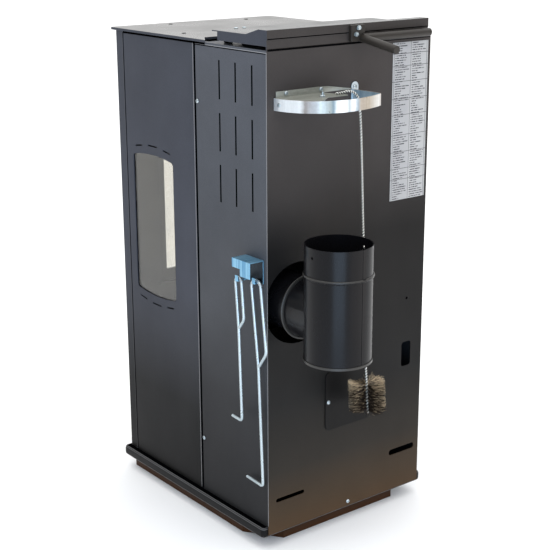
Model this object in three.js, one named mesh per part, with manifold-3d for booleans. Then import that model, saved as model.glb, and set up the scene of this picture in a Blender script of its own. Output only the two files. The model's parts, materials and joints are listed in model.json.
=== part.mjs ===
// A free-standing pellet and wood stove with a gravity hopper and a rear flue tee.
// Millimetres, +Z up. The origin is on the floor below the middle of the casing.
// The door faces -Y, the flue leaves towards +Y, and +X is the right-hand side.

import * as THREE from 'three';
import { mergeVertices } from 'three/addons/utils/BufferGeometryUtils.js';
import Module from 'manifold-3d';

const wasm = await Module();
wasm.setup();

// Casing
const bodyWidth = 412;
const bodyDepth = 514;
const bodyHeight = 945;
const sheet = 2;
const clearance = 0.3;
const overrun = 6;

// Base
const plinthHeight = 27;
const plinthInset = 6;
const plinthRearInset = 22;
const plinthWall = 4;
const plinthTieWidth = 36;
const plinthTieHeight = 3;
const plinthChamferX = 50;
const plinthChamferY = 74;
const rimHeight = 23;
const rimOverhang = 13;
const rimCornerRadius = 9;
const rimRoll = 6;
const rimWidth = 34;
const trayWeb = 4;

// Seam between the front and rear side panels, closed by a stepped flange on the front panel
const seamY = 29;
const seamGap = 3.6;
const seamFlangeFront = 21;
const seamFlangeRear = 50;

// Side screws
const sideScrewY = 38;
const sideScrewLow = 120;
const sideScrewDrop = 115;
const screwHeadRadius = 4.2;
const screwHeadHeight = 2.4;
const screwShankRadius = 2.1;
const screwShankLength = 7;

// Slots in the rear side panels
const slotColumns = 3;
const slotRows = 3;
const slotWidth = 3.4;
const slotLength = 75;
const slotRearMargin = 44;
const slotPitchY = 51;
const slotDrop = 29;
const slotPitchZ = 100;

// Windows and dashes in the front side panels
const windowFrontMargin = 52;
const windowSeamMargin = 84;
const windowBottom = 398;
const windowDrop = 255;
const windowBow = 7;
const windowCorner = 7;
const dashGap = 19;
const dashHeight = 3.2;
const dashEndLength = 26;
const dashMiddleLength = 34;
const dashEndShare = 0.84;
const sideGlassThickness = 4;
const sideGlassLap = 9;

// Front posts, front panels and door
const postDepth = 27.3;
const postWidth = 14.5;
const postWall = 2.4;
const panelReturn = 15;
const frontSheet = 3;
const doorBottom = 345;
const doorDrop = 188;
const doorGap = 3.2;
const doorThickness = 14;
const doorSideGap = 3.4;
const doorCorner = 3;
const doorPivotInset = 11;
const doorPivotDepth = 9;
const doorWindowMargin = 99;
const doorWindowBottom = 404;
const doorWindowInset = 57;
const doorWindowCorner = 10;
const glassLap = 9;
const doorGlassThickness = 4;
const doorLip = 4;
const retainerLap = 4;
const gasketWidth = 8;
const gasketInset = 36;
const pinRadius = 3;
const pinReach = 14;
const pinHeadRadius = 5;
const pinHeadHeight = 2.5;

// Door handle
const handleMargin = 46;
const handleRise = 9;
const spindleRadius = 5;
const handleHubRadius = 13;
const handleHubLength = 12;
const handleStandoff = 38;
const handleLength = 104;
const handleRadius = 7.5;
const camLength = 15;
const camWidth = 10;
const camThickness = 3;

// Ash drawer and air slider
const drawerMargin = 58;
const drawerBottom = 214;
const drawerTop = 306;
const drawerDepth = 214;
const drawerWall = 1.6;
const drawerBodyHeight = 74;
const drawerFrameGap = 2.4;
const drawerSideInset = 10;
const knobRadius = 13;
const knobNeckRadius = 6;
const knobNeckLength = 14;
const knobLength = 16;
const sliderZ = 128;
const sliderTravel = 25;
const sliderHalf = 62;
const sliderHeight = 30;
const sliderNeckRadius = 3.2;
const sliderKnobRadius = 9;
const sliderKnobLength = 14;

// Firebox
const fireboxBottom = 335;
const fireboxDrop = 155;
const fireboxWall = 4;
const fireboxRearMargin = 237;
const neckMargin = 41;
const neckDepth = 9;
const mouthMargin = 71;
const mouthBottom = 382;
const mouthDrop = 35;
const ledgeWidth = 12;
const ledgeHeight = 7;
const liningThickness = 20;
const liningDrop = 54;
const baffleThickness = 18;
const baffleFrontMargin = 81;
const smokeSlotHeight = 22;
const smokeSlotDrop = 8;
const grateHalf = 72;
const grateFrontMargin = 75;
const grateRearMargin = 60;
const grateThickness = 10;
const grateLip = 9;
const grateSlots = 7;
const grateSlotWidth = 7;
const standMargin = 43;
const standWall = 3;
const standShelf = 211;
const standFlange = 22;
const standFrontMargin = 33;

// Pellet feed
const hopperMargin = 56;
const hopperDepth = 126;
const hopperRearMargin = 18;
const hopperKneeDrop = 175;
const funnelHeight = 130;
const throatHalf = 33;
const throatInset = 1;
const throatDepth = 72;
const chuteReach = 78;
const chuteEndZ = 432;
const basketHalf = 44;
const basketShare = 0.62;
const basketHeight = 46;
const basketWall = 3;
const basketHoleRadius = 3.5;
const basketHoles = 4;

// Top plate and hopper frame
const topThickness = 5;
const topOverhang = 13;
const topSideOverhang = 6;
const topWingMargin = 181;
const topRearMargin = 224;
const topWingWidth = 29;
const airSlotDepth = 25;
const airSlotMargin = 15;
const topCorner = 4;
const collarHeight = 12;

// Lid
const lidDepth = 167;
const lidEndMargin = 9;
const lidRise = 25;
const lidRampMargin = 62;
const lidBrowMargin = 24;
const lidRampRise = 11;
const slitX = -13;
const slitMargin = 57;
const slitLength = 90;
const slitWidth = 4;
const lidSkirtInset = 17;
const lidSkirtGap = 7;
const lidCrease = 19;
const lidStep = 1.2;
const linerDrop = 4;
const linerMargin = 7;
const sealWidth = 9;
const hingeMargin = 31;
const hingeInset = 10;
const hingeDrop = 12;
const hingePinRadius = 3;
const hingeLugThickness = 6;
const hingeEarThickness = 3;
const hingeEarHalf = 6;
const hingeEarWall = 1;
const hingeWasherRadius = 4.5;
const hingeWasherThickness = 2;

// Lid handle
const handleBracketX = -5;
const handleBracketWidth = 34;
const handleBracketHeight = 31;
const handleBracketThickness = 8;
const barRadius = 8;
const longBarEnd = -190;
const longBarOffset = 12;
const shortBarLength = 94;
const shortBarDrop = 17;
const shortBarX = -16;
const barHeightShare = 0.3;
const boltRadius = 4.5;
const boltHead = 4;
const boltSpread = 12;

// Flue
const flueMargin = 72;
const flueZ = 459;
const flueHoleMargin = 75;
const flueHoleRadius = 82;
const pipeRadius = 64;
const pipeWall = 2;
const teeOffset = 120;
const teeRise = 144;
const teeDrop = 76;
const collarHoleRadius = 3;
const collarHoleDrop = 18;
const beadBelowTop = 58;
const beadRadius = 2.6;
const branchRadius = 59;
const branchGap = 15;
const branchCollar = 65;
const branchCollarOffset = 28;
const branchCollarWidth = 5;
const spigotReach = 54;
const ductHalf = 63;
const ductTopDrop = 2;
const ductBottomDrop = 71;
const ductDepth = 64;
const ductWall = 2;
const spigotFlange = 7;
const capLip = 1.6;
const capLipHeight = 5;
const capSkirt = 16;

// Rear panel details
const rearDrop = 17;
const cableHoleMargin = 31;
const cableHoleWidth = 26;
const cableHoleBottom = 260;
const cableHoleTop = 314;
const cableHoleCorner = 6;
const smallHoleMargin = 46;
const smallHoleZ = 410;
const smallHoleRadius = 3;
const leftSlotMargin = 19;
const lowSlotLength = 73;
const leftSlotBottom = 49;
const leftSlotTop = 57.5;
const rightSlotMargin = 13;
const rightSlotBottom = 63;
const rightSlotTop = 76;
const coverHalf = 61;
const coverBottom = 170;
const coverTop = 296;
const coverCorner = 12;
const coverLap = 14;
const coverScrewX = 54;
const coverScrewZ = 232;
const bottomScrewX = -4;
const bottomScrewZ = -4;
const labelMargin = 7;
const labelGap = 99;
const labelHeight = 314;
const labelDrop = 7;
const labelThickness = 0.5;

// Galvanised half ring
const ringCentreOffset = 43.5;
const ringRadius = 99.5;
const ringDrop = 86;
const ringHeight = 22.5;
const ringSheet = 2;
const ringFrontRadius = 216;
const ringEndOffset = 140;
const ringCorner = 8;
const ringTabOffset = 139;
const ringFootOffset = 5;
const ringTabHalf = 9;
const ringTabRise = 14;
const ringTabScrewRise = 4;
const ringPlateOffset = 59;
const ringPlateTipOffset = 79;
const ringPlateTip = 50;
const ringPlateInnerOffset = 34;
const ringPlateInner = 48;
const ringPlateMeetDegrees = 56;
const ringUpstand = 13.5;
const ringScrewNearOffset = 29;
const ringScrewFarOffset = 54;

// Tool bracket and pokers
const bracketDepth = 56;
const bracketRearMargin = 11;
const bracketReach = 34;
const bracketTop = 554;
const bracketSheet = 2;
const bracketBackHeight = 47;
const bracketWing = 18;
const bracketStem = 32;
const bracketStemDepth = 31;
const hookWidth = 8;
const hookRise = 12;
const longHookMargin = 14;
const longHookReach = 15;
const shortHookMargin = 7;
const shortHookReach = 29;
const toolRadius = 3;
const longLoopHalf = 14.5;
const longLoopLength = 176;
const longLoopSlant = 33;
const longLoopLean = 20;
const longLean = 32;
const longBottom = 91;
const longFoot = 52;
const shortLoopHalf = 9.5;
const shortLoopLength = 105;
const shortLoopSlant = 20;
const shortLoopLean = 8.5;
const shortLean = 16;
const shortBottom = 220;
const shortFoot = 32;
const toolBend = 8;
const footTilt = 0.06;

// Flue brush
const wireRadius = 2;
const brushOffset = 45;
const brushHookX = -13;
const brushHookOff = 41;
const brushSeatX = -27;
const brushCrestX = -41;
const brushCrestRise = 2.4;
const brushShoulderX = -54;
const brushShoulderRise = 2;
const brushBendX = -67;
const brushBendDrop = 8;
const brushBendOff = 40;
const brushTopX = -75;
const brushTopOff = 38;
const brushTopDrop = 33;
const brushMidX = -77;
const brushMidOff = 41;
const brushMidDrop = 281;
const brushLowX = -83;
const brushLowOff = 54;
const brushLowDrop = 547;
const brushCoreDrop = 593;
const brushCoreLength = 50;
const brushRadius = 38;
const brushCoreRadius = 3.2;
const brushTipX = -88;
const brushTipOff = 62;
const brushRings = 15;
const brushStrands = 20;
const strandRoot = 0.5;
const strandTip = 0.9;

// Sides of the round pieces
const pipeSides = 36;
const barSides = 16;
const smallSides = 10;
const wireSides = 8;
const bendSteps = 5;
const wireSteps = 44;
const bowSteps = 8;
const strapSteps = 8;
const cornerSteps = 3;
const slotEndSteps = 5;
const flueHoleSteps = 32;

// Places that the sizes above fix
const half = bodyWidth / 2;
const rearY = bodyDepth / 2;
const frontY = -bodyDepth / 2;
const floorZ = plinthHeight + rimHeight;
const rearFace = rearY - sheet;

// Places on the side panels
const sideScrewHigh = bodyHeight - sideScrewDrop;
const slotFirstY = rearY - slotRearMargin - (slotColumns - 1) * slotPitchY;
const slotTop = bodyHeight - slotDrop;
const windowFront = frontY + windowFrontMargin;
const windowRear = seamY - windowSeamMargin;
const windowTop = bodyHeight - windowDrop;

// Places on the door and the drawer
const doorTop = bodyHeight - doorDrop;
const doorWindowTop = doorTop - doorWindowInset;
const handleX = handleMargin - half;
const handleZ = (doorBottom + doorTop) / 2 + handleRise;
const doorWindowHalf = half - doorWindowMargin;
const drawerHalf = half - drawerMargin;

// Places in the firebox
const fireboxTop = bodyHeight - fireboxDrop;
const fireboxRear = rearY - fireboxRearMargin;
const neckHalf = half - neckMargin;
const mouthHalf = half - mouthMargin;
const mouthTop = doorTop - mouthDrop;
const liningTop = fireboxTop - liningDrop;
const baffleFront = frontY + baffleFrontMargin;
const smokeSlotTop = fireboxTop - smokeSlotDrop;
const smokeSlotBottom = smokeSlotTop - smokeSlotHeight;
const grateFront = frontY + grateFrontMargin;
const grateRear = fireboxRear - grateRearMargin;
const grateMiddle = (grateFront + grateRear) / 2;
const basketFront = grateMiddle - (basketShare * (grateRear - grateFront)) / 2;
const basketRear = grateMiddle + (basketShare * (grateRear - grateFront)) / 2;
const standHalf = half - standMargin;
const standFront = frontY + standFrontMargin;

// Places of the hopper, the chute and the smoke duct
const hopperHalf = half - hopperMargin;
const hopperRear = rearY - hopperRearMargin;
const hopperFront = hopperRear - hopperDepth;
const hopperKnee = bodyHeight - hopperKneeDrop;
const mouthZ = hopperKnee - funnelHeight;
const throatFront = hopperFront + throatInset;
const throatRear = throatFront + throatDepth;
const chuteEnd = fireboxRear - chuteReach;
const chuteDrop = mouthZ - chuteEndZ;
const ductTop = fireboxTop - ductTopDrop;
const ductBottom = flueZ - ductBottomDrop;
const ductRear = fireboxRear + ductDepth;

// Places of the top plate and the lid
const topRearWing = rearY - topWingMargin;
const topRear = rearY - topRearMargin;
const lidFront = rearY - lidDepth;
const lidLeft = lidEndMargin - half;
const lidRampFront = rearY - lidRampMargin;
const lidRampRear = rearY - lidBrowMargin;
const lidSkirtFront = lidFront + lidSkirtInset;
const linerRear = rearY - linerMargin;
const hingeX = half - hingeMargin;
const hingeY = lidFront + hingeInset;

// Places on the rear panel
const flueX = half - flueMargin;
const flueHoleX = half - flueHoleMargin;
const branchBore = branchRadius - pipeWall;
const teeTop = flueZ + teeRise;
const teeBottom = flueZ - teeDrop;
const cableHoleLeft = cableHoleMargin - half;
const cableHoleRight = cableHoleLeft + cableHoleWidth;
const smallHoleX = smallHoleMargin - half;
const leftSlotEnd = half - leftSlotMargin;
const leftSlotStart = leftSlotEnd - lowSlotLength;
const rightSlotStart = rightSlotMargin - half;
const rightSlotEnd = rightSlotStart + lowSlotLength;
const labelLeft = labelMargin - half;
const labelTop = bodyHeight - labelDrop;
const labelBottom = labelTop - labelHeight;

// Places of the half ring, which sits behind the flue
const ringCentreX = flueX - ringCentreOffset;
const ringTop = bodyHeight - ringDrop;
const ringEndX = flueX - ringEndOffset;
const ringTabX = flueX - ringTabOffset;
const labelRight = ringTabX - labelGap;
const ringFootX = ringTabX + ringFootOffset;
const ringTabTop = ringTop + ringTabRise;
const ringTabScrewZ = ringTop + ringTabScrewRise;
const ringPlateLeft = flueX - ringPlateOffset;
const ringPlateTipX = flueX - ringPlateTipOffset;
const ringPlateInnerX = flueX - ringPlateInnerOffset;
const ringScrewNear = flueX + ringScrewNearOffset;
const ringScrewFar = flueX - ringScrewFarOffset;
const ringScrewZ = ringTop + ringSheet + screwHeadRadius + 2 * clearance;

// Places of the tools
const bracketRear = rearY - bracketRearMargin;
const bracketFront = bracketRear - bracketDepth;
const bracketStemFront = bracketRear - bracketStemDepth;
const longHookY = bracketRear - longHookMargin;
const shortHookY = bracketFront + shortHookMargin;
const brushShoulderZ = ringTop + brushShoulderRise;
const brushBendZ = ringTop - brushBendDrop;
const brushTopZ = ringTop - brushTopDrop;
const brushMidZ = ringTop - brushMidDrop;
const brushLowZ = ringTop - brushLowDrop;
const brushCoreTop = ringTop - brushCoreDrop;

// Colour and gloss of each finish
const enamel = { color: 0x2f3238, roughness: 0.5, metalness: 0.25 };
const rearEnamel = { color: 0x3d3936, roughness: 0.5, metalness: 0.25 };
const lightEnamel = { color: 0x6c6a63, roughness: 0.4, metalness: 0.3 };
const pipeEnamel = { color: 0x26272b, roughness: 0.4, metalness: 0.3 };
const castIron = { color: 0x232323, roughness: 0.75, metalness: 0.4 };
const blackSteel = { color: 0x2a2a2c, roughness: 0.6, metalness: 0.5 };
const zinc = { color: 0xb9c4c8, roughness: 0.3, metalness: 0.9 };
const galvanised = { color: 0xa9b7bd, roughness: 0.25, metalness: 0.9 };
const brass = { color: 0xa58c5f, roughness: 0.45, metalness: 0.6 };
const glass = { color: 0x54585a, roughness: 0.1, metalness: 0 };
const lining = { color: 0xb6a585, roughness: 0.9, metalness: 0 };
const rope = { color: 0x4a4a48, roughness: 0.95, metalness: 0 };
const paper = { color: 0xd9d9d6, roughness: 0.6, metalness: 0 };

const stove = new THREE.Group();
const casing = new THREE.Group();
casing.position.z = floorZ;
stove.add(casing);

// Scene and solid helpers

function add(parent, name, geometry, look) {
  const mesh = new THREE.Mesh(geometry, new THREE.MeshStandardMaterial(look));
  mesh.name = name;
  parent.add(mesh);
  return mesh;
}

function solidOf(geometry) {
  const bare = geometry.clone();
  bare.deleteAttribute('normal');
  bare.deleteAttribute('uv');
  const merged = mergeVertices(bare);
  return new wasm.Manifold(new wasm.Mesh({
    numProp: 3,
    vertProperties: Float32Array.from(merged.attributes.position.array),
    triVerts: Uint32Array.from(merged.index.array),
  }));
}

function geometryOf(solid) {
  const mesh = solid.getMesh();
  const geometry = new THREE.BufferGeometry();
  geometry.setAttribute('position', new THREE.BufferAttribute(mesh.vertProperties, mesh.numProp));
  geometry.setIndex(new THREE.BufferAttribute(mesh.triVerts, 1));
  return geometry;
}

// Joins the first list of geometries and cuts away the second.
function carve(parts, cuts = []) {
  let solid = solidOf(parts[0]);
  for (const part of parts.slice(1)) {
    solid = solid.add(solidOf(part));
  }
  for (const cut of cuts) {
    solid = solid.subtract(solidOf(cut));
  }
  return geometryOf(solid);
}

// The same piece for the other side of the stove.
function mirrored(geometry) {
  const copy = geometry.clone().scale(-1, 1, 1);
  return copy.setIndex(Array.from(copy.index.array).reverse());
}

function block(x0, x1, y0, y1, z0, z1) {
  const geometry = new THREE.BoxGeometry(x1 - x0, y1 - y0, z1 - z0);
  return geometry.translate((x0 + x1) / 2, (y0 + y1) / 2, (z0 + z1) / 2);
}

// A straight round bar between two points.
function bar(radius, start, end, sides = barSides) {
  const along = new THREE.Vector3().subVectors(end, start);
  const geometry = new THREE.CylinderGeometry(radius, radius, along.length(), sides);
  const turn = new THREE.Quaternion().setFromUnitVectors(new THREE.Vector3(0, 1, 0),
    along.clone().normalize());
  geometry.applyQuaternion(turn);
  const middle = new THREE.Vector3().addVectors(start, end).multiplyScalar(1 / 2);
  return geometry.translate(middle.x, middle.y, middle.z);
}

function point(x, y, z) {
  return new THREE.Vector3(x, y, z);
}

// A round wire along a curve.
function wire(curve, radius, steps, sides = wireSides) {
  const section = new THREE.Shape();
  for (let side = 0; side < sides; side += 1) {
    const angle = (side / sides) * 2 * Math.PI;
    const x = radius * Math.cos(angle);
    const y = radius * Math.sin(angle);
    if (side === 0) {
      section.moveTo(x, y);
    } else {
      section.lineTo(x, y);
    }
  }
  return new THREE.ExtrudeGeometry(section, { steps, extrudePath: curve, bevelEnabled: false });
}

// The places along a bar whose corners are bent to a radius.
function bent(corners, radius) {
  const last = corners.length - 1;
  const places = [corners[0]];
  for (let index = 1; index < last; index += 1) {
    const corner = corners[index];
    const [entry, exit] = [corners[index - 1], corners[index + 1]].map(
      (next) => corner.clone().add(next.clone().sub(corner).setLength(radius)));
    places.push(...new THREE.QuadraticBezierCurve3(entry, corner, exit).getPoints(bendSteps));
  }
  return [...places, corners[last]];
}

// A round bar through places that lie in one plane across X.
function bentBar(places, radius, sides = wireSides) {
  const positions = [];
  const faces = [];
  const last = places.length - 1;
  places.forEach((place, index) => {
    const after = places[Math.min(index + 1, last)];
    const along = after.clone().sub(places[Math.max(index - 1, 0)]).normalize();
    for (let side = 0; side < sides; side += 1) {
      const angle = (side / sides) * 2 * Math.PI;
      const rise = radius * Math.sin(angle);
      positions.push(
        place.x + radius * Math.cos(angle), place.y - along.z * rise, place.z + along.y * rise);
      const here = index * sides + side;
      const beside = index * sides + ((side + 1) % sides);
      if (index < last) {
        faces.push(here, here + sides, beside, beside, here + sides, beside + sides);
      }
      if (index === 0 && side > 1) {
        faces.push(0, side - 1, side);
      }
      if (index === last && side > 1) {
        faces.push(last * sides, here, here - 1);
      }
    }
  });
  const geometry = new THREE.BufferGeometry();
  geometry.setAttribute('position', new THREE.Float32BufferAttribute(positions, 3));
  geometry.setIndex(faces);
  return geometry;
}

// A flat outline from corner points.
function outline(points) {
  return new THREE.Shape(points.map(([u, v]) => new THREE.Vector2(u, v)));
}

// A rectangle with round corners.
function roundedRectangle(u0, u1, v0, v1, radius, kind = THREE.Shape) {
  const shape = new kind();
  const quarter = Math.PI / 2;
  shape.moveTo(u0 + radius, v0);
  shape.lineTo(u1 - radius, v0);
  shape.absarc(u1 - radius, v0 + radius, radius, -quarter, 0, false);
  shape.lineTo(u1, v1 - radius);
  shape.absarc(u1 - radius, v1 - radius, radius, 0, quarter, false);
  shape.lineTo(u0 + radius, v1);
  shape.absarc(u0 + radius, v1 - radius, radius, quarter, 2 * quarter, false);
  shape.lineTo(u0, v0 + radius);
  shape.absarc(u0 + radius, v0 + radius, radius, 2 * quarter, 3 * quarter, false);
  return shape;
}

function rectangle(u0, u1, v0, v1, kind = THREE.Shape) {
  const corners = [[u0, v0], [u1, v0], [u1, v1], [u0, v1]];
  return new kind(corners.map(([u, v]) => new THREE.Vector2(u, v)));
}

// Points along an arc, both ends included.
function arcPoints(u, v, radius, start, sweep, steps) {
  const points = [];
  for (let step = 0; step <= steps; step += 1) {
    const angle = start + sweep * (step / steps);
    points.push(new THREE.Vector2(u + radius * Math.cos(angle), v + radius * Math.sin(angle)));
  }
  return points;
}

// An upright slot with half-round ends.
function slotHole(u, v0, v1, width) {
  const radius = width / 2;
  const upper = arcPoints(u, v1 - radius, radius, 0, Math.PI, slotEndSteps);
  const lower = arcPoints(u, v0 + radius, radius, Math.PI, Math.PI, slotEndSteps);
  return new THREE.Path([...upper, ...lower]);
}

function roundHole(u, v, radius) {
  return new THREE.Path(arcPoints(u, v, radius, 0, 2 * Math.PI, smallSides).slice(1));
}

function slab(shape, thickness, curveSegments = cornerSteps) {
  return new THREE.ExtrudeGeometry(shape, { depth: thickness, bevelEnabled: false, curveSegments });
}

// Stands a slab upright across the stove: its outline is read in X and Z, its rear face lies at y.
function across(mesh, y) {
  mesh.rotation.x = Math.PI / 2;
  mesh.position.y = y;
  return mesh;
}

// Stands a slab upright along the side: its outline is read in Y and Z, its inner face lies at x.
function along(mesh, x) {
  mesh.rotation.set(Math.PI / 2, 0, Math.PI / 2, 'ZYX');
  mesh.position.x = x;
  return mesh;
}

// The same two turns for geometry that is joined or cut before it becomes a mesh.
function acrossGeometry(geometry, y) {
  return geometry.rotateX(Math.PI / 2).translate(0, y, 0);
}

function alongGeometry(geometry, x) {
  return geometry.rotateX(Math.PI / 2).rotateZ(Math.PI / 2).translate(x, 0, 0);
}

// A six-sided block between two level rectangles.
function taper(low, high) {
  const corners = [];
  for (const level of [low, high]) {
    corners.push([level.x0, level.y0, level.z], [level.x1, level.y0, level.z]);
    corners.push([level.x1, level.y1, level.z], [level.x0, level.y1, level.z]);
  }
  const faces = [[3, 2, 1, 0], [4, 5, 6, 7], [0, 1, 5, 4], [1, 2, 6, 5], [2, 3, 7, 6], [3, 0, 4, 7]];
  const geometry = new THREE.BufferGeometry();
  geometry.setAttribute('position', new THREE.Float32BufferAttribute(corners.flat(), 3));
  geometry.setIndex(faces.flatMap(([a, b, c, d]) => [a, b, c, a, c, d]));
  return geometry;
}

function grown(rect, by, z = rect.z) {
  return { x0: rect.x0 - by, x1: rect.x1 + by, y0: rect.y0 - by, y1: rect.y1 + by, z };
}

// A round piece turned about Z from a closed profile of radius and height.
function turned(profile, sides = pipeSides) {
  return new THREE.LatheGeometry(profile.map(([r, z]) => new THREE.Vector2(r, z)),
    sides).rotateX(Math.PI / 2);
}

// A tube with open ends, its axis along Z.
function ring(inner, outer, z0, z1, sides = pipeSides) {
  return turned([[inner, z0], [outer, z0], [outer, z1], [inner, z1], [inner, z0]], sides);
}

// Base

function plinthShape(inset, kind) {
  const x = half - plinthInset - inset;
  const front = frontY + plinthInset + inset;
  const rear = rearY - plinthRearInset - inset;
  const corners = [
    [-x, front], [x, front], [x, rear - plinthChamferY], [x - plinthChamferX, rear],
    [plinthChamferX - x, rear], [-x, rear - plinthChamferY],
  ];
  return new kind(corners.map(([u, v]) => new THREE.Vector2(u, v)));
}

function basePlinth() {
  const frame = plinthShape(0, THREE.Shape);
  frame.holes.push(plinthShape(plinthWall, THREE.Path));
  const reach = half - plinthInset - plinthWall / 2;
  const tie = block(-reach, reach, -plinthTieWidth / 2, plinthTieWidth / 2, 0, plinthTieHeight);
  return carve([slab(frame, plinthHeight - clearance), tie]);
}
add(stove, 'base_plinth', basePlinth(), rearEnamel);

function baseTray() {
  const x = half + rimOverhang;
  const front = frontY - rimOverhang;
  const rear = rearFace - clearance;
  const rim = roundedRectangle(
    rimRoll - x, x - rimRoll, front + rimRoll, rear - rimRoll, rimCornerRadius - rimRoll);
  const height = rimHeight - clearance - 2 * rimRoll;
  const outer = new THREE.ExtrudeGeometry(rim, {
    depth: height, bevelSize: rimRoll, bevelThickness: rimRoll, bevelSegments: 3, curveSegments: cornerSteps,
  });
  outer.translate(0, 0, rimRoll - rimHeight);
  const pocket = block(
    rimWidth - x, x - rimWidth, front + rimWidth, rear - rimWidth,
    -rimHeight - overrun, -clearance - trayWeb);
  const screwHole = bar(
    screwShankRadius + clearance,
    point(bottomScrewX, rear - screwShankLength - clearance, bottomScrewZ - screwHeadHeight),
    point(bottomScrewX, rear + overrun, bottomScrewZ - screwHeadHeight), smallSides);
  return carve([outer], [pocket, screwHole]);
}
add(casing, 'base_tray', baseTray(), enamel);

// Rear panel, with the flue hole running out through its right-hand edge

function rearPanel() {
  const open = Math.acos((half - flueHoleX) / flueHoleRadius);
  const shape = new THREE.Shape();
  shape.moveTo(-half, -rearDrop);
  shape.lineTo(half, -rearDrop);
  for (const end of arcPoints(flueHoleX, flueZ, flueHoleRadius, -open, 2 * open - 2 * Math.PI,
      flueHoleSteps)) {
    shape.lineTo(end.x, end.y);
  }
  shape.lineTo(half, bodyHeight);
  shape.lineTo(-half, bodyHeight);
  shape.holes.push(
    roundedRectangle(
      cableHoleLeft, cableHoleRight, cableHoleBottom, cableHoleTop, cableHoleCorner, THREE.Path),
    roundHole(smallHoleX, smallHoleZ, smallHoleRadius),
    roundedRectangle(
      leftSlotStart, leftSlotEnd, leftSlotBottom, leftSlotTop, (leftSlotTop - leftSlotBottom) / 2.1,
      THREE.Path),
    roundedRectangle(
      rightSlotStart, rightSlotEnd, rightSlotBottom, rightSlotTop,
      (rightSlotTop - rightSlotBottom) / 2.1, THREE.Path),
    rectangle(coverLap - coverHalf, coverHalf - coverLap, coverBottom + coverLap, coverTop - coverLap,
    THREE.Path),
  );
  const screws = [
    [coverScrewX, coverScrewZ], [-coverScrewX, coverScrewZ], [bottomScrewX, bottomScrewZ - screwHeadHeight],
    [ringTabX, ringTabScrewZ], [ringScrewNear, ringScrewZ],
    [ringScrewFar, ringScrewZ],
  ];
  for (const [x, z] of screws) {
    shape.holes.push(roundHole(x, z, screwShankRadius + clearance));
  }
  return slab(shape, sheet);
}
across(add(casing, 'rear_panel', rearPanel(), rearEnamel), rearY);

// Side panels, windows, uprights and their screws

function rearSidePanel() {
  const shape = rectangle(seamY + seamGap / 2, rearFace - clearance, clearance, bodyHeight);
  for (let column = 0; column < slotColumns; column += 1) {
    for (let row = 0; row < slotRows; row += 1) {
      const y = slotFirstY + column * slotPitchY;
      const z = slotTop - row * slotPitchZ;
      shape.holes.push(slotHole(y, z - slotLength, z, slotWidth));
    }
  }
  for (const z of [sideScrewLow, sideScrewHigh]) {
    shape.holes.push(roundHole(sideScrewY, z, screwShankRadius + clearance));
  }
  return slab(shape, sheet);
}

// The side window: a rounded rectangle whose top bows up and bottom bows down.
function windowShape(lap, kind) {
  const front = windowFront - lap;
  const rear = windowRear + lap;
  const bottom = windowBottom - lap;
  const top = windowTop + lap;
  const middle = (front + rear) / 2;
  const shape = new kind();
  shape.moveTo(front, bottom + windowCorner);
  shape.quadraticCurveTo(front, bottom, front + windowCorner, bottom - windowCorner / 4);
  shape.quadraticCurveTo(middle, bottom - 2 * windowBow, rear - windowCorner, bottom - windowCorner / 4);
  shape.quadraticCurveTo(rear, bottom, rear, bottom + windowCorner);
  shape.lineTo(rear, top - windowCorner);
  shape.quadraticCurveTo(rear, top, rear - windowCorner, top + windowCorner / 4);
  shape.quadraticCurveTo(middle, top + 2 * windowBow, front + windowCorner, top + windowCorner / 4);
  shape.quadraticCurveTo(front, top, front, top - windowCorner);
  return shape;
}

// Dashes follow the bow of the window, three above it and three below.
function dashes() {
  const middle = (windowFront + windowRear) / 2;
  const reach = (windowRear - windowFront) / 2;
  const found = [];
  for (const side of [-1, 1]) {
    for (const place of [-1, 0, 1]) {
      const length = place === 0 ? dashMiddleLength : dashEndLength;
      const share = place * dashEndShare;
      const y = middle + share * (reach - dashEndLength / 2);
      const bow = windowBow * (1 - share * share);
      const edge = side > 0 ? windowTop : windowBottom;
      const z = edge + side * (dashGap + bow);
      const tilt = Math.atan2(-side * 2 * share * windowBow, reach);
      const slot = new THREE.Path();
      const u = new THREE.Vector2(Math.cos(tilt), Math.sin(tilt));
      const v = new THREE.Vector2(-u.y, u.x);
      for (const [a, b] of [[-1, -1], [1, -1], [1, 1], [-1, 1]]) {
        const dy = (a * u.x * length + b * v.x * dashHeight) / 2;
        const dz = (a * u.y * length + b * v.y * dashHeight) / 2;
        if (a < 0 && b < 0) {
          slot.moveTo(y + dy, z + dz);
        } else {
          slot.lineTo(y + dy, z + dz);
        }
      }
      found.push(slot);
    }
  }
  return found;
}

// The right-hand panel: its outer sheet, then a step and a flange that reach behind the rear panel.
function frontSidePanel() {
  const rear = seamY - seamGap / 2;
  const shape = rectangle(frontY + postDepth + seamGap / 2, rear, clearance, bodyHeight);
  shape.holes.push(windowShape(0, THREE.Path), ...dashes());
  const outer = alongGeometry(slab(shape, sheet, bowSteps), half - sheet);
  const flangeInner = half - 2 * sheet - clearance;
  const flangeTop = bodyHeight - 2 * clearance - sheet;
  const flange = block(flangeInner, flangeInner + sheet, seamFlangeFront, seamFlangeRear, clearance,
    flangeTop);
  const step = block(flangeInner, half - sheet / 2, seamFlangeFront, rear, clearance, flangeTop);
  const holes = [sideScrewLow, sideScrewHigh].map((z) => bar(
    screwShankRadius + clearance, point(half, sideScrewY, z), point(flangeInner - overrun, sideScrewY, z),
    smallSides));
  return carve([outer, step, flange], holes);
}

// A dome-headed screw pointing along -X, its seat at the origin.
function screw() {
  const profile = [
    [0, -screwShankLength], [screwShankRadius, -screwShankLength], [screwShankRadius, 0],
    [screwHeadRadius, 0],
    [screwHeadRadius * 0.82, screwHeadHeight * 0.62], [screwHeadRadius * 0.45, screwHeadHeight * 0.93],
    [0, screwHeadHeight],
  ];
  return turned(profile, smallSides);
}

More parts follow.
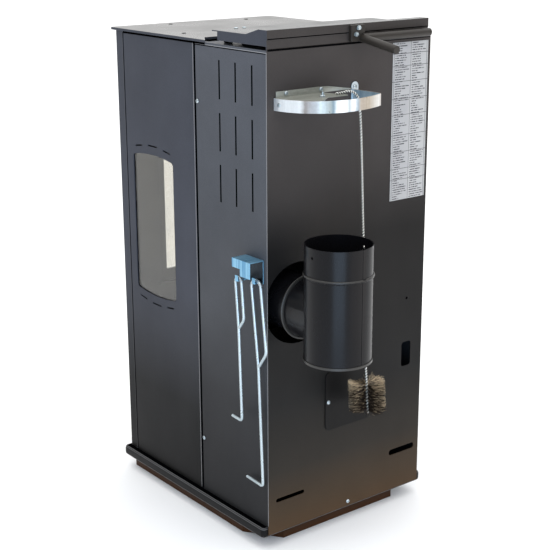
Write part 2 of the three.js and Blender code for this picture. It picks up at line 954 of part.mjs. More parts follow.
const screwSeat = clearance;
for (const [name, side] of [['right', 1], ['left', -1]]) {
  const inner = side > 0 ? half - sheet : -half;
  along(add(casing, `${name}_rear_panel`, rearSidePanel(), enamel), inner);
  add(casing, `${name}_front_panel`, side > 0 ? frontSidePanel() : mirrored(frontSidePanel()), enamel);
  const glassInner = side > 0 ? half - sheet - clearance - sideGlassThickness : sheet + clearance - half;
  const pane = slab(windowShape(sideGlassLap, THREE.Shape), sideGlassThickness, bowSteps);
  along(add(casing, `${name}_window_glass`, pane, glass), glassInner);
  for (const [level, z] of [['low', sideScrewLow], ['high', sideScrewHigh]]) {
    const fastener = add(casing, `${name}_side_screw_${level}`, screw(), zinc);
    fastener.rotation.y = side * Math.PI / 2;
    fastener.position.set(side * (half + screwSeat), sideScrewY, z);
  }
}

// Front posts and the fixed front panels above and below the door

const postInner = half - postWidth;
function post() {
  const shape = rectangle(postInner, half, frontY, frontY + postDepth - seamGap / 2);
  shape.holes.push(rectangle(
    postInner + postWall, half - postWall, frontY + postWall, frontY + postDepth - seamGap / 2 - postWall,
    THREE.Path));
  return slab(shape, bodyHeight - clearance);
}
for (const [name, side] of [['right', 1], ['left', -1]]) {
  const mesh = add(casing, `${name}_front_post`, post(), enamel);
  mesh.position.z = clearance;
  if (side < 0) {
    mesh.position.x = -half - postInner;
  }
}

const doorPivotX = postInner - doorSideGap - doorPivotInset;
const doorPivotY = frontY + doorPivotDepth;
const frontHalf = postInner - clearance;

function upperFront() {
  const bottom = doorTop + doorGap;
  const top = bodyHeight - clearance;
  const face = block(-frontHalf, frontHalf, frontY, frontY + frontSheet, bottom, top);
  const flange = block(-frontHalf, frontHalf, frontY, frontY + panelReturn, bottom, bottom + frontSheet);
  const pinHole = bar(
    pinRadius + clearance, point(doorPivotX, doorPivotY, bottom - overrun),
    point(doorPivotX, doorPivotY, bottom + frontSheet + overrun));
  return carve([face, flange], [pinHole]);
}
add(casing, 'upper_front_panel', upperFront(), enamel);

const drawerOpening = drawerHalf + drawerFrameGap;
function lowerFront() {
  const top = doorBottom - doorGap;
  const face = block(-frontHalf, frontHalf, frontY, frontY + frontSheet, clearance, top);
  const flange = block(-frontHalf, frontHalf, frontY, frontY + panelReturn, top - frontSheet, top);
  const pin = bar(
    pinRadius, point(doorPivotX, doorPivotY, top - frontSheet), point(doorPivotX, doorPivotY,
    doorBottom + pinReach));
  const drawerHole = block(
    -drawerOpening, drawerOpening, frontY - overrun, frontY + frontSheet + overrun,
    drawerBottom - drawerFrameGap, drawerTop + drawerFrameGap);
  const slotHalf = sliderTravel + sliderNeckRadius + 2 * clearance;
  const slotRise = sliderNeckRadius + clearance;
  const sliderSlot = block(
    -slotHalf, slotHalf, frontY - overrun, frontY + frontSheet + overrun, sliderZ - slotRise,
    sliderZ + slotRise);
  return carve([face, flange, pin], [drawerHole, sliderSlot]);
}
add(casing, 'lower_front_panel', lowerFront(), enamel);

// Door pin: it drops through the flange above the door; the pin below the door is part of the panel
function doorPin() {
  const seatZ = doorTop + doorGap + frontSheet + clearance;
  const end = doorTop - pinReach;
  const shank = bar(
    pinRadius, point(doorPivotX, doorPivotY, seatZ + pinHeadHeight / 2), point(doorPivotX, doorPivotY, end));
  const head = bar(
    pinHeadRadius, point(doorPivotX, doorPivotY, seatZ), point(doorPivotX, doorPivotY,
    seatZ + pinHeadHeight));
  return carve([shank, head]);
}
add(casing, 'door_pin', doorPin(), zinc);

// Door: a cast frame with its glass, retainer, gasket and handle, turning on the pins

const door = new THREE.Group();
door.position.set(doorPivotX, doorPivotY, 0);
casing.add(door);

const doorX0 = -2 * doorPivotX - doorPivotInset;
const doorX1 = doorPivotInset;
const doorFront = -doorPivotDepth;
const doorBack = doorThickness - doorPivotDepth;
const glassLeft = -doorPivotX - doorWindowHalf;
const glassRight = doorWindowHalf - doorPivotX;

function doorFrame() {
  const face = roundedRectangle(doorX0, doorX1, doorBottom, doorTop, doorCorner);
  face.holes.push(roundedRectangle(
    glassLeft, glassRight, doorWindowBottom, doorWindowTop, doorWindowCorner, THREE.Path));
  const frame = acrossGeometry(slab(face, doorThickness), doorBack);
  const rebate = block(
    glassLeft - glassLap, glassRight + glassLap, doorFront + doorLip, doorBack + overrun,
    doorWindowBottom - glassLap, doorWindowTop + glassLap);
  const pinDepth = pinReach + 2 * clearance;
  const upperHole = bar(
    pinRadius + clearance, point(0, 0, doorTop - pinDepth), point(0, 0, doorTop + overrun));
  const lowerHole = bar(
    pinRadius + clearance, point(0, 0, doorBottom + pinDepth), point(0, 0, doorBottom - overrun));
  const spindleHole = bar(
    spindleRadius + clearance, point(handleX - doorPivotX, doorFront - overrun, handleZ),
    point(handleX - doorPivotX, doorBack + overrun, handleZ));
  return carve([frame], [rebate, upperHole, lowerHole, spindleHole]);
}
add(door, 'door_frame', doorFrame(), castIron);

const paneLap = glassLap - clearance;
const paneShape = rectangle(
  glassLeft - paneLap, glassRight + paneLap, doorWindowBottom - paneLap, doorWindowTop + paneLap);
const paneBack = doorFront + doorLip + clearance + doorGlassThickness;
across(add(door, 'door_glass', slab(paneShape, doorGlassThickness), glass), paneBack);

const retainerShape = rectangle(
  glassLeft - paneLap, glassRight + paneLap, doorWindowBottom - paneLap, doorWindowTop + paneLap);
retainerShape.holes.push(rectangle(
  glassLeft + retainerLap, glassRight - retainerLap, doorWindowBottom + retainerLap,
  doorWindowTop - retainerLap, THREE.Path));
const retainerThickness = doorBack - paneBack - clearance;
across(add(door, 'glass_retainer', slab(retainerShape, retainerThickness), blackSteel), doorBack);

const neckFront = frontY + postDepth - neckDepth;
const gasketThickness = neckFront - (frontY + doorThickness) - 2 * clearance;
function frameShape(x0, x1, z0, z1, width) {
  const shape = roundedRectangle(x0 - width, x1 + width, z0 - width, z1 + width, width / 2);
  shape.holes.push(rectangle(x0, x1, z0, z1, THREE.Path));
  return shape;
}
const gasketShape = frameShape(
  glassLeft - gasketInset, glassRight + gasketInset, mouthBottom - gasketWidth, mouthTop + gasketWidth,
  gasketWidth);
across(
  add(door, 'door_gasket', slab(gasketShape, gasketThickness), rope),
    doorBack + clearance + gasketThickness);

// Handle: a spindle through the door, a cam behind it and a bar standing clear of the glass
const handle = new THREE.Group();
handle.position.set(handleX - doorPivotX, 0, handleZ);
door.add(handle);

function doorHandle() {
  const camFront = doorBack + clearance;
  const spindle = bar(spindleRadius, point(0, doorFront - handleStandoff, 0), point(0,
    camFront + camThickness, 0));
  const hub = bar(
    handleHubRadius, point(0, doorFront - clearance - handleHubLength, 0), point(0,
    doorFront - clearance, 0));
  const cam = block(-camLength, camWidth / 2, camFront, camFront + camThickness, -camWidth / 2,
    camWidth / 2);
  const grip = bar(
    handleRadius, point(0, doorFront - handleStandoff, handleRadius),
    point(0, doorFront - handleStandoff, -handleLength));
  return carve([hub, spindle, cam, grip]);
}
add(handle, 'door_handle', doorHandle(), blackSteel);

// Ash drawer behind the lower front panel, with its knob

const drawer = new THREE.Group();
casing.add(drawer);

function ashDrawer() {
  const back = frontY + frontSheet;
  const side = drawerHalf - drawerSideInset;
  const bottom = standShelf + standWall + clearance;
  const face = block(-drawerHalf, drawerHalf, frontY, back, drawerBottom, drawerTop);
  const tub = block(-side, side, back - sheet, back + drawerDepth, bottom, bottom + drawerBodyHeight);
  const hollow = block(
    drawerWall - side, side - drawerWall, back + drawerWall, back + drawerDepth - drawerWall,
    bottom + drawerWall, bottom + drawerBodyHeight + overrun);
  return carve([face, tub, drawerKnob()], [hollow]);
}

function drawerKnob() {
  const neck = knobNeckLength;
  const profile = [
    [0, -frontSheet / 2], [knobNeckRadius, -frontSheet / 2],
    [knobNeckRadius, neck], [knobRadius, neck + knobLength * 0.25], [knobRadius, neck + knobLength * 0.75],
    [knobNeckRadius, neck + knobLength], [0, neck + knobLength],
  ];
  return turned(profile, barSides).rotateX(Math.PI / 2).translate(0, frontY, (drawerBottom + drawerTop) / 2);
}
add(drawer, 'ash_drawer', ashDrawer(), blackSteel);

// Air slider: a shutter behind the lower front panel with its knob through the slot
function airSlider() {
  const front = frontY + frontSheet + clearance;
  const shutter = block(
    -sliderHalf, sliderHalf, front, front + sheet, sliderZ - sliderHeight / 2, sliderZ + sliderHeight / 2);
  const neck = bar(
    sliderNeckRadius, point(0, front + sheet / 2, sliderZ), point(0, frontY - sliderKnobLength / 2,
    sliderZ));
  const grip = bar(
    sliderKnobRadius, point(0, frontY - clearance - sliderKnobLength, sliderZ),
    point(0, frontY - 2 * clearance, sliderZ));
  return carve([shutter, neck, grip]);
}
add(casing, 'air_slider', airSlider(), blackSteel);

// Firebox, its stand, lining, baffle, grate and burner basket

const fireboxHalf = half - sheet - 2 * clearance - sideGlassThickness;
const fireboxFront = frontY + postDepth;
const fireboxInner = fireboxHalf - fireboxWall;

function firebox() {
  const shell = block(-fireboxHalf, fireboxHalf, fireboxFront, fireboxRear, fireboxBottom, fireboxTop);
  const neck = block(
    -neckHalf, neckHalf, neckFront, fireboxFront + fireboxWall, fireboxBottom + fireboxWall,
    fireboxTop - fireboxWall);
  const inside = block(
    -fireboxInner, fireboxInner, fireboxFront + fireboxWall, fireboxRear - fireboxWall,
    fireboxBottom + fireboxWall, fireboxTop - fireboxWall);
  const ledges = [-1, 1].map((side) => {
    const outer = side * (fireboxInner + fireboxWall / 2);
    const inner = side * (fireboxInner - ledgeWidth);
    return block(
      Math.min(outer, inner), Math.max(outer, inner), baffleFront, fireboxRear - fireboxWall / 2,
      liningTop - ledgeHeight, liningTop);
  });
  const liningRoom = block(
    -fireboxInner, fireboxInner, fireboxRear - fireboxWall - liningThickness - clearance,
    fireboxRear - fireboxWall, liningTop - ledgeHeight - overrun, liningTop + overrun);
  const frontMouth = block(
    -mouthHalf, mouthHalf, neckFront - overrun, fireboxFront + fireboxWall + overrun, mouthBottom, mouthTop);
  const cuts = [frontMouth];
  for (const side of [-1, 1]) {
    const opening = slab(windowShape(sideGlassLap / 2, THREE.Shape), fireboxWall + 2 * overrun, bowSteps);
    cuts.push(alongGeometry(opening, side * (fireboxInner + fireboxWall / 2) - fireboxWall / 2 - overrun));
  }
  cuts.push(block(
    flueX - ductHalf + 2 * ductWall, flueX + ductHalf - 2 * ductWall, fireboxRear - fireboxWall - overrun,
    fireboxRear + overrun, smokeSlotBottom, smokeSlotTop));
  cuts.push(block(
    -grateHalf, grateHalf, grateFront, grateRear, fireboxBottom - overrun,
    fireboxBottom + fireboxWall + overrun));
  cuts.push(chuteBlock(clearance));
  const hollow = carve([shell, neck], [inside]);
  return carve([hollow, carve(ledges.slice(0, 1), [liningRoom]), carve(ledges.slice(1), [liningRoom])],
    cuts);
}

// The pellet chute as a solid block, grown by a gap for the holes that it passes through.
function chuteBlock(gap) {
  const rise = chuteDrop / (throatRear - chuteEnd);
  const top = mouthZ - clearance + gap;
  const drop = (throatRear - throatFront) * rise;
  const end = chuteEnd - gap;
  const low = top - (throatRear - end) * rise - 2 * gap;
  const shape = outline([
    [throatFront - gap, top], [throatRear + gap, top], [throatRear + gap, top - 2 * gap], [end, low],
    [end, low + drop + 3 * gap], [throatFront - gap, top - gap],
  ].filter((corner, index) => gap > 0 || (index !== 2 && index !== 5)));
  const reach = throatHalf + sheet + gap;
  return alongGeometry(slab(shape, 2 * reach), -reach);
}

function pelletChute() {
  const rise = chuteDrop / (throatRear - chuteEnd);
  const top = mouthZ - clearance;
  const drop = (throatRear - throatFront) * rise;
  const wallDrop = sheet * Math.hypot(1, rise);
  const start = [throatFront + sheet, throatRear - sheet];
  const lineLow = (y) => top - (throatRear - y) * rise + wallDrop;
  const lineHigh = (y) => top - (throatFront - y) * rise - wallDrop;
  const shape = outline([
    [start[0], top + overrun], [start[1], top + overrun], [start[1], lineLow(start[1])],
    [chuteEnd - overrun, lineLow(chuteEnd - overrun)], [chuteEnd - overrun, lineHigh(chuteEnd - overrun)],
    [start[0], lineHigh(start[0])],
  ]);
  const inside = alongGeometry(slab(shape, 2 * throatHalf), -throatHalf);
  return carve([chuteBlock(0)], [inside, block(
    -throatHalf, throatHalf, chuteEnd - overrun, chuteEnd + drop / rise / 4, lineLow(chuteEnd),
    lineHigh(chuteEnd))]);
}

add(casing, 'firebox', firebox(), blackSteel);
add(casing, 'pellet_chute', pelletChute(), blackSteel);

function fireboxStand() {
  const top = fireboxBottom - clearance;
  const bottom = clearance;
  const x = standHalf;
  const w = standWall;
  const shelf = standShelf;
  const points = [
    [-x, bottom], [w - x, bottom], [w - x, shelf], [x - w, shelf], [x - w, bottom], [x, bottom],
    [x, top - w], [x + standFlange, top - w], [x + standFlange, top], [x - w, top],
    [x - w, shelf + w], [w - x, shelf + w], [w - x, top], [-x - standFlange, top],
    [-x - standFlange, top - w], [-x, top - w],
  ];
  return slab(outline(points), fireboxRear - standFront);
}
across(add(casing, 'firebox_stand', fireboxStand(), blackSteel), fireboxRear);

function rearLining() {
  const back = fireboxRear - fireboxWall - clearance;
  const plate = block(
    clearance - fireboxInner, fireboxInner - clearance, back - liningThickness + clearance, back,
    fireboxBottom + fireboxWall + clearance, liningTop - clearance);
  return carve([plate], [chuteBlock(clearance)]);
}
add(casing, 'rear_lining', rearLining(), lining);

add(casing, 'baffle', block(
  clearance - fireboxInner, fireboxInner - clearance, baffleFront,
  fireboxRear - fireboxWall - liningThickness,
  liningTop + clearance, liningTop + baffleThickness), lining);

function grate() {
  const floor = fireboxBottom + fireboxWall;
  const lip = block(
    -grateHalf - grateLip, grateHalf + grateLip, grateFront - grateLip, grateRear + grateLip,
    floor + clearance, floor + grateThickness);
  const body = block(
    clearance - grateHalf, grateHalf - clearance, grateFront + clearance, grateRear - clearance,
    fireboxBottom, floor + grateThickness / 2);
  const cuts = [];
  const pitch = (2 * grateHalf) / (grateSlots + 1);
  for (let slot = 1; slot <= grateSlots; slot += 1) {
    const x = slot * pitch - grateHalf;
    cuts.push(block(
      x - grateSlotWidth / 2, x + grateSlotWidth / 2, grateFront + grateLip, grateRear - grateLip,
      fireboxBottom - overrun, floor + grateThickness + overrun));
  }
  return carve([lip, body], cuts);
}
add(casing, 'grate', grate(), castIron);

function burnerBasket() {
  const low = fireboxBottom + fireboxWall + grateThickness + clearance;
  const cup = block(-basketHalf, basketHalf, basketFront, basketRear, low, low + basketHeight);
  const cuts = [block(
    basketWall - basketHalf, basketHalf - basketWall, basketFront + basketWall, basketRear - basketWall,
    low + basketWall, low + basketHeight + overrun)];
  const pitch = (2 * basketHalf) / (basketHoles + 1);
  for (let hole = 1; hole <= basketHoles; hole += 1) {
    const x = hole * pitch - basketHalf;
    cuts.push(bar(
      basketHoleRadius, point(x, basketFront - overrun, low + basketHeight / 2),
      point(x, basketRear + overrun, low + basketHeight / 2), smallSides));
  }
  return carve([cup], cuts);
}
add(casing, 'burner_basket', burnerBasket(), castIron);

// Hopper and the frame that carries it below the lid

const frameTop = bodyHeight - clearance;
function hopper() {
  const top = frameTop - sheet - clearance;
  const mouth = { x0: -throatHalf, x1: throatHalf, y0: throatFront + sheet, y1: throatRear - sheet,
    z: mouthZ };
  const knee = { x0: -hopperHalf, x1: hopperHalf, y0: hopperFront, y1: hopperRear, z: hopperKnee };
  const upper = { ...knee, z: top };
  const outerLow = taper(grown(mouth, sheet), grown(knee, sheet));
  const outerHigh = taper(grown(knee, sheet), grown(upper, sheet));
  const innerLow = taper({ ...mouth, z: mouthZ }, knee);
  const innerHigh = taper(knee, { ...upper, z: top + overrun });
  const innerEnd = taper({ ...mouth, z: mouthZ - overrun }, { ...mouth, z: mouthZ });
  return carve([outerLow, outerHigh], [innerLow, innerHigh, innerEnd]);
}
add(casing, 'hopper', hopper(), blackSteel);

function hopperFrame() {
  const plate = block(
    clearance + sheet - half, half - sheet - clearance, topRear + clearance, rearFace - clearance,
    frameTop - sheet, frameTop);
  const collar = block(
    -hopperHalf - sheet, hopperHalf + sheet, hopperFront - sheet, hopperRear + sheet,
    frameTop - sheet, frameTop + collarHeight);
  const hole = block(
    -hopperHalf, hopperHalf, hopperFront, hopperRear, frameTop - sheet - overrun,
    frameTop + collarHeight + overrun);
  const axis = bodyHeight + lidRise - hingeDrop;
  const parts = [plate, collar];
  const cuts = [hole];
  for (const side of [-1, 1]) {
    for (const ear of [-1, 1]) {
      const inner = side * hingeX + ear * (hingeLugThickness / 2 + clearance);
      const outer = inner + ear * hingeEarThickness;
      parts.push(block(
        Math.min(inner, outer), Math.max(inner, outer), hingeY - hingeEarHalf, hingeY + hingeEarHalf,
        frameTop - sheet, axis + hingePinRadius + clearance + hingeEarWall));
    }
    cuts.push(bar(
      hingePinRadius + clearance, point(side * hingeX - 2 * overrun, hingeY, axis),
      point(side * hingeX + 2 * overrun, hingeY, axis)));
  }
  cuts.push(block(
    airSlotMargin - half, half - airSlotMargin, topRear - overrun, topRear + airSlotDepth,
    frameTop - sheet - overrun, frameTop + overrun));
  return carve(parts, cuts);
}
add(casing, 'hopper_frame', hopperFrame(), blackSteel);

// Top plate over the front half, with a wing behind each corner

function topPlate() {
  const x = half + topSideOverhang;
  const front = frontY - topOverhang;
  const shape = outline([
    [topCorner - x, front], [x - topCorner, front], [x, front + topCorner], [x, topRearWing],
    [x - topWingWidth, topRear], [topWingWidth - x, topRear], [-x, topRearWing], [-x, front + topCorner],
  ]);
  return slab(shape, topThickness);
}
const top = add(casing, 'top_plate', topPlate(), lightEnamel);
top.position.z = bodyHeight + clearance;

// Lid, turning on two pins at its front edge

const lid = new THREE.Group();
const lidAxisZ = bodyHeight + lidRise - hingeDrop;
lid.position.set(0, hingeY, lidAxisZ);
casing.add(lid);

const lidSheetTop = bodyHeight + lidRise - lidAxisZ;
const lidRear = rearY - hingeY + lidStep;
function lidShell() {
  const front = lidFront - hingeY;
  const rampFront = lidRampFront - hingeY;
  const rampRear = lidRampRear - hingeY;
  const slitFront = rearY - slitMargin - hingeY - slitWidth / 2;
  const high = lidSheetTop + lidRampRise;
  const low = bodyHeight - lidAxisZ + 2 * clearance;
  const crease = low + lidCrease;
  const t = sheet;
  const bend = outline([
    [front, lidSheetTop - t], [rampFront + t / 4, lidSheetTop - t], [rampRear + t / 4, high - t],
    [lidRear - t, high - t], [lidRear - t, crease], [lidRear - t - lidStep, crease - t],
    [lidRear - t - lidStep, low], [lidRear - lidStep, low], [lidRear - lidStep, crease - t], [lidRear,
    crease],
    [lidRear, high], [rampRear, high], [rampFront, lidSheetTop], [front, lidSheetTop],
  ]);
  const roof = alongGeometry(slab(bend, bodyWidth - lidEndMargin), lidLeft);
  const skirtLow = bodyHeight + lidSkirtGap - lidAxisZ;
  const skirtShape = outline([
    [lidSkirtFront - hingeY, skirtLow], [lidRear - t, skirtLow], [lidRear - t, high - t / 2],
    [rampRear, high - t / 2], [rampFront, lidSheetTop - t / 2], [lidSkirtFront - hingeY,
    lidSheetTop - t / 2],
  ]);
  const skirts = [lidLeft, half - t].map((x) => alongGeometry(slab(skirtShape, t), x));
  const linerTop = lidSheetTop - linerDrop;
  const liner = block(
    lidLeft + t / 2, half - t / 2, lidSkirtFront - hingeY, linerRear - hingeY, linerTop - t, linerTop);
  const lugs = [-1, 1].map((side) => block(
    side * hingeX - hingeLugThickness / 2, side * hingeX + hingeLugThickness / 2, -hingeEarHalf,
    hingeEarHalf, -hingePinRadius * 2, lidSheetTop - t / 2));
  const holes = [-1, 1].map((side) => bar(
    hingePinRadius + clearance, point(side * hingeX - overrun, 0, 0), point(side * hingeX + overrun, 0, 0)));
  const slit = block(
    slitX - slitLength / 2, slitX + slitLength / 2, slitFront, slitFront + slitWidth,
    linerTop + (linerDrop - t) / 2, high + overrun);
  return carve([roof, ...skirts, liner, ...lugs], [...holes, slit]);
}
add(lid, 'hopper_lid', lidShell(), rearEnamel);

const linerBottom = lidSheetTop - linerDrop - sheet;
const sealLow = frameTop + collarHeight - lidAxisZ + clearance;
const sealShape = rectangle(
  -hopperHalf - sealWidth, hopperHalf + sealWidth, hopperFront - sealWidth / 2 - hingeY,
  hopperRear + sealWidth - hingeY);
sealShape.holes.push(rectangle(
  -hopperHalf, hopperHalf, hopperFront + sealWidth / 2 - hingeY, hopperRear - hingeY, THREE.Path));
const seal = add(lid, 'lid_seal', slab(sealShape, linerBottom - clearance - sealLow), rope);
seal.position.z = sealLow;

// One rod runs through both hinges, with a pressed washer outside each.
function hingeRod() {
  const reach = hingeX + hingeLugThickness / 2 + hingeEarThickness + 2 * clearance;
  const rod = bar(hingePinRadius, point(-reach, hingeY, lidAxisZ), point(reach, hingeY, lidAxisZ));
  const washers = [-1, 1].map((side) => bar(
    hingeWasherRadius, point(side * reach, hingeY, lidAxisZ),
    point(side * (reach + hingeWasherThickness), hingeY, lidAxisZ)));
  return carve([rod, ...washers]);
}
add(casing, 'lid_hinge_rod', hingeRod(), zinc);

// Lid handle: a bracket on the rear edge, two round bars and two bolts

const bracketZ = bodyHeight + lidSkirtGap / 2 - lidAxisZ + handleBracketHeight / 2;
const bracketFace = lidRear + clearance;
const barZ = bracketZ - handleBracketHeight * barHeightShare;
function handleBracket() {
  const shape = roundedRectangle(
    handleBracketX - handleBracketWidth / 2, handleBracketX + handleBracketWidth / 2,
    bracketZ - handleBracketHeight / 2, bracketZ + handleBracketHeight / 2, handleBracketThickness / 4);
  return acrossGeometry(slab(shape, handleBracketThickness), bracketFace + handleBracketThickness);
}
const longBarStart = handleBracketX - handleBracketWidth / 4;
const barAxisY = bracketFace + longBarOffset - lidStep;
const longBar = bar(barRadius, point(longBarStart, barAxisY, barZ), point(longBarEnd, barAxisY, barZ));
const bracketOuter = bracketFace + handleBracketThickness;
const shortBarStart = point(shortBarX, bracketFace + handleBracketThickness / 2, barZ);
const shortBarFinish = point(shortBarX, bracketOuter + shortBarLength, barZ - shortBarDrop);
const shortBar = bar(barRadius, shortBarStart, shortBarFinish);
add(lid, 'lid_handle', carve([handleBracket(), longBar, shortBar]), blackSteel);
for (const [name, side] of [['upper', 1], ['lower', -1]]) {
  const boltX = handleBracketX + side * -boltSpread / 4 + boltSpread / 4;
  const boltZ = bracketZ + side * boltSpread / 2 + boltSpread / 3;
  const bolt = turned([
    [0, 0], [boltRadius, 0], [boltRadius, boltHead * 0.7], [boltRadius * 0.7, boltHead], [0, boltHead],
  ], smallSides);
  const mesh = add(lid, `lid_handle_bolt_${name}`, bolt, zinc);
  mesh.rotation.x = -Math.PI / 2;
  mesh.position.set(boltX, bracketOuter + clearance, boltZ);
}

// Flue: smoke duct behind the firebox, spigot, tee and its cap

function smokeDuct() {
  const front = fireboxRear + clearance;
  const x0 = flueX - ductHalf;
  const x1 = Math.min(flueX + ductHalf, fireboxInner);
  const shell = block(x0, x1, front, ductRear, ductBottom, ductTop);
  const inside = block(
    x0 + ductWall, x1 - ductWall, front - overrun, ductRear - ductWall, ductBottom + ductWall,
    ductTop - ductWall);
  const outlet = bar(
    branchBore, point(flueX, ductRear - overrun, flueZ),
    point(flueX, ductRear + overrun, flueZ), pipeSides);
  return carve([shell], [inside, outlet]);
}
add(casing, 'smoke_duct', smokeDuct(), blackSteel);

const spigotOuter = branchBore - clearance;
const spigotInner = spigotOuter - pipeWall;
function spigot() {
  const end = rearY + spigotReach;
  const start = ductRear - ductWall;
  const seatY = ductRear + clearance;
  const profile = [
    [spigotInner, start], [spigotOuter - clearance, start], [spigotOuter - clearance, seatY],
    [spigotOuter + spigotFlange, seatY], [spigotOuter + spigotFlange, seatY + pipeWall],
    [spigotOuter, seatY + pipeWall], [spigotOuter, end], [spigotInner, end], [spigotInner, start],
  ];
  return turned(profile);
}
const spigotMesh = add(casing, 'flue_spigot', spigot(), pipeEnamel);
spigotMesh.rotation.x = -Math.PI / 2;
spigotMesh.position.set(flueX, 0, flueZ);

const teeY = rearY + teeOffset;
function tee() {
  const bore = pipeRadius - pipeWall;
  const upright = bar(pipeRadius, point(flueX, teeY, teeBottom), point(flueX, teeY, teeTop), pipeSides);
  const branch = bar(
    branchRadius, point(flueX, rearY + branchGap, flueZ), point(flueX, teeY, flueZ), pipeSides);
  const collarY = rearY + branchCollarOffset;
  const collar = bar(
    branchCollar, point(flueX, collarY, flueZ), point(flueX, collarY + branchCollarWidth, flueZ),
    pipeSides);
  const beadZ = teeTop - beadBelowTop;
  const bead = turned([
    [bore + pipeWall / 2, beadZ - 2 * beadRadius], [pipeRadius, beadZ - beadRadius],
    [pipeRadius + beadRadius, beadZ], [pipeRadius, beadZ + beadRadius],
    [bore + pipeWall / 2, beadZ + 2 * beadRadius], [bore + pipeWall / 2, beadZ - 2 * beadRadius],
  ]).translate(flueX, teeY, 0);
  const holeZ = teeTop - collarHoleDrop;
  const holeReach = pipeRadius + overrun;
  const cuts = [
    bar(bore, point(flueX, teeY, teeBottom - overrun), point(flueX, teeY, teeTop + overrun), pipeSides),
    bar(
      collarHoleRadius, point(flueX - holeReach, teeY, holeZ), point(flueX + holeReach, teeY, holeZ),
      smallSides),
    bar(branchBore, point(flueX, rearY, flueZ), point(flueX, teeY, flueZ), pipeSides),
  ];
  return carve([upright, branch, collar, bead], cuts);
}
add(casing, 'flue_tee', tee(), pipeEnamel);

const cap = new THREE.Group();
cap.position.set(flueX, teeY, teeBottom);
casing.add(cap);
function teeCap() {
  const fit = pipeRadius - pipeWall - clearance;
  return turned([
    [0, -capLipHeight], [pipeRadius + capLip, -capLipHeight], [pipeRadius + capLip, -clearance],
    [fit, -clearance], [fit, capSkirt], [fit - pipeWall, capSkirt],
    [fit - pipeWall, -capLipHeight + pipeWall], [0, -capLipHeight + pipeWall],
  ]);
}
add(cap, 'tee_cap', teeCap(), pipeEnamel);

// Rear panel fittings

const coverPlate = roundedRectangle(-coverHalf, coverHalf, coverBottom, coverTop, coverCorner);
for (const side of [-1, 1]) {
  coverPlate.holes.push(roundHole(side * coverScrewX, coverScrewZ, screwShankRadius + clearance));
}
across(add(casing, 'inspection_cover', slab(coverPlate, sheet), rearEnamel), rearY + clearance + sheet);

const labelShape = rectangle(labelLeft, labelRight, labelBottom, labelTop);
across(add(casing, 'rating_label', slab(labelShape, labelThickness), paper),
  rearY + clearance + labelThickness);

// A screw whose head sits outside the rear panel.
function rearScrew(name, x, seatY, z) {
  const mesh = add(casing, name, screw(), zinc);
  mesh.rotation.x = -Math.PI / 2;
  mesh.position.set(x, seatY + clearance, z);
}
rearScrew('cover_screw_right', coverScrewX, rearY + clearance + sheet, coverScrewZ);
rearScrew('cover_screw_left', -coverScrewX, rearY + clearance + sheet, coverScrewZ);
rearScrew('rear_bottom_screw', bottomScrewX, rearY, bottomScrewZ - screwHeadHeight);

// Galvanised half ring: a strap bent in plan, standing on edge, with a screwed tab at its free end

function strapPath() {
  const path = new THREE.Path();
  const start = rearY + clearance;
  const sweep = Math.asin((ringCentreX - ringEndX) / ringFrontRadius);
  const cornerX = ringCentreX - ringFrontRadius * Math.sin(sweep);
  const cornerY = rearY + ringRadius - ringFrontRadius * (1 - Math.cos(sweep));
  path.moveTo(ringCentreX + ringRadius, start);
  path.absarc(ringCentreX, rearY, ringRadius, 0, Math.PI / 2, false);
  path.absarc(
    ringCentreX, rearY + ringRadius - ringFrontRadius, ringFrontRadius, Math.PI / 2,
    Math.PI / 2 + sweep * (1 - ringCorner / ringRadius), false);
  path.quadraticCurveTo(cornerX, cornerY, cornerX, cornerY - ringCorner);
  path.lineTo(ringFootX, start);
  return path;
}

// A closed outline of even thickness on the inner side of a path.
function strapShape(points, thickness) {
  const inner = points.map((here, index) => {
    const before = points[Math.max(index - 1, 0)];
    const after = points[Math.min(index + 1, points.length - 1)];
    const along2 = new THREE.Vector2().subVectors(after, before).normalize();
    return new THREE.Vector2(here.x - along2.y * thickness, here.y + along2.x * thickness);
  });
  inner[0].y = points[0].y;
  inner[inner.length - 1].y = points[points.length - 1].y;
  return new THREE.Shape([...points, ...inner.reverse()]);
}

const strapPoints = strapPath().getPoints(strapSteps);
function ringBand() {
  const low = ringTop - ringHeight;
  const band = slab(strapShape(strapPoints, ringSheet), ringHeight).translate(0, 0, low);
  const tabShape = new THREE.Shape();
  const shoulder = ringTabTop - ringTabHalf;
  tabShape.moveTo(ringTabX - ringTabHalf, low);
  tabShape.lineTo(ringTabX + ringTabHalf, low);
  tabShape.lineTo(ringTabX + ringTabHalf, shoulder);
  tabShape.absarc(ringTabX, shoulder, ringTabHalf, 0, Math.PI, false);
  tabShape.lineTo(ringTabX - ringTabHalf, low);
  tabShape.holes.push(roundHole(ringTabX, ringTabScrewZ, screwShankRadius + clearance));
  const tab = acrossGeometry(slab(tabShape, ringSheet), rearY + clearance + ringSheet);
  return carve([band, tab]);
}
add(casing, 'ring_band', ringBand(), galvanised);

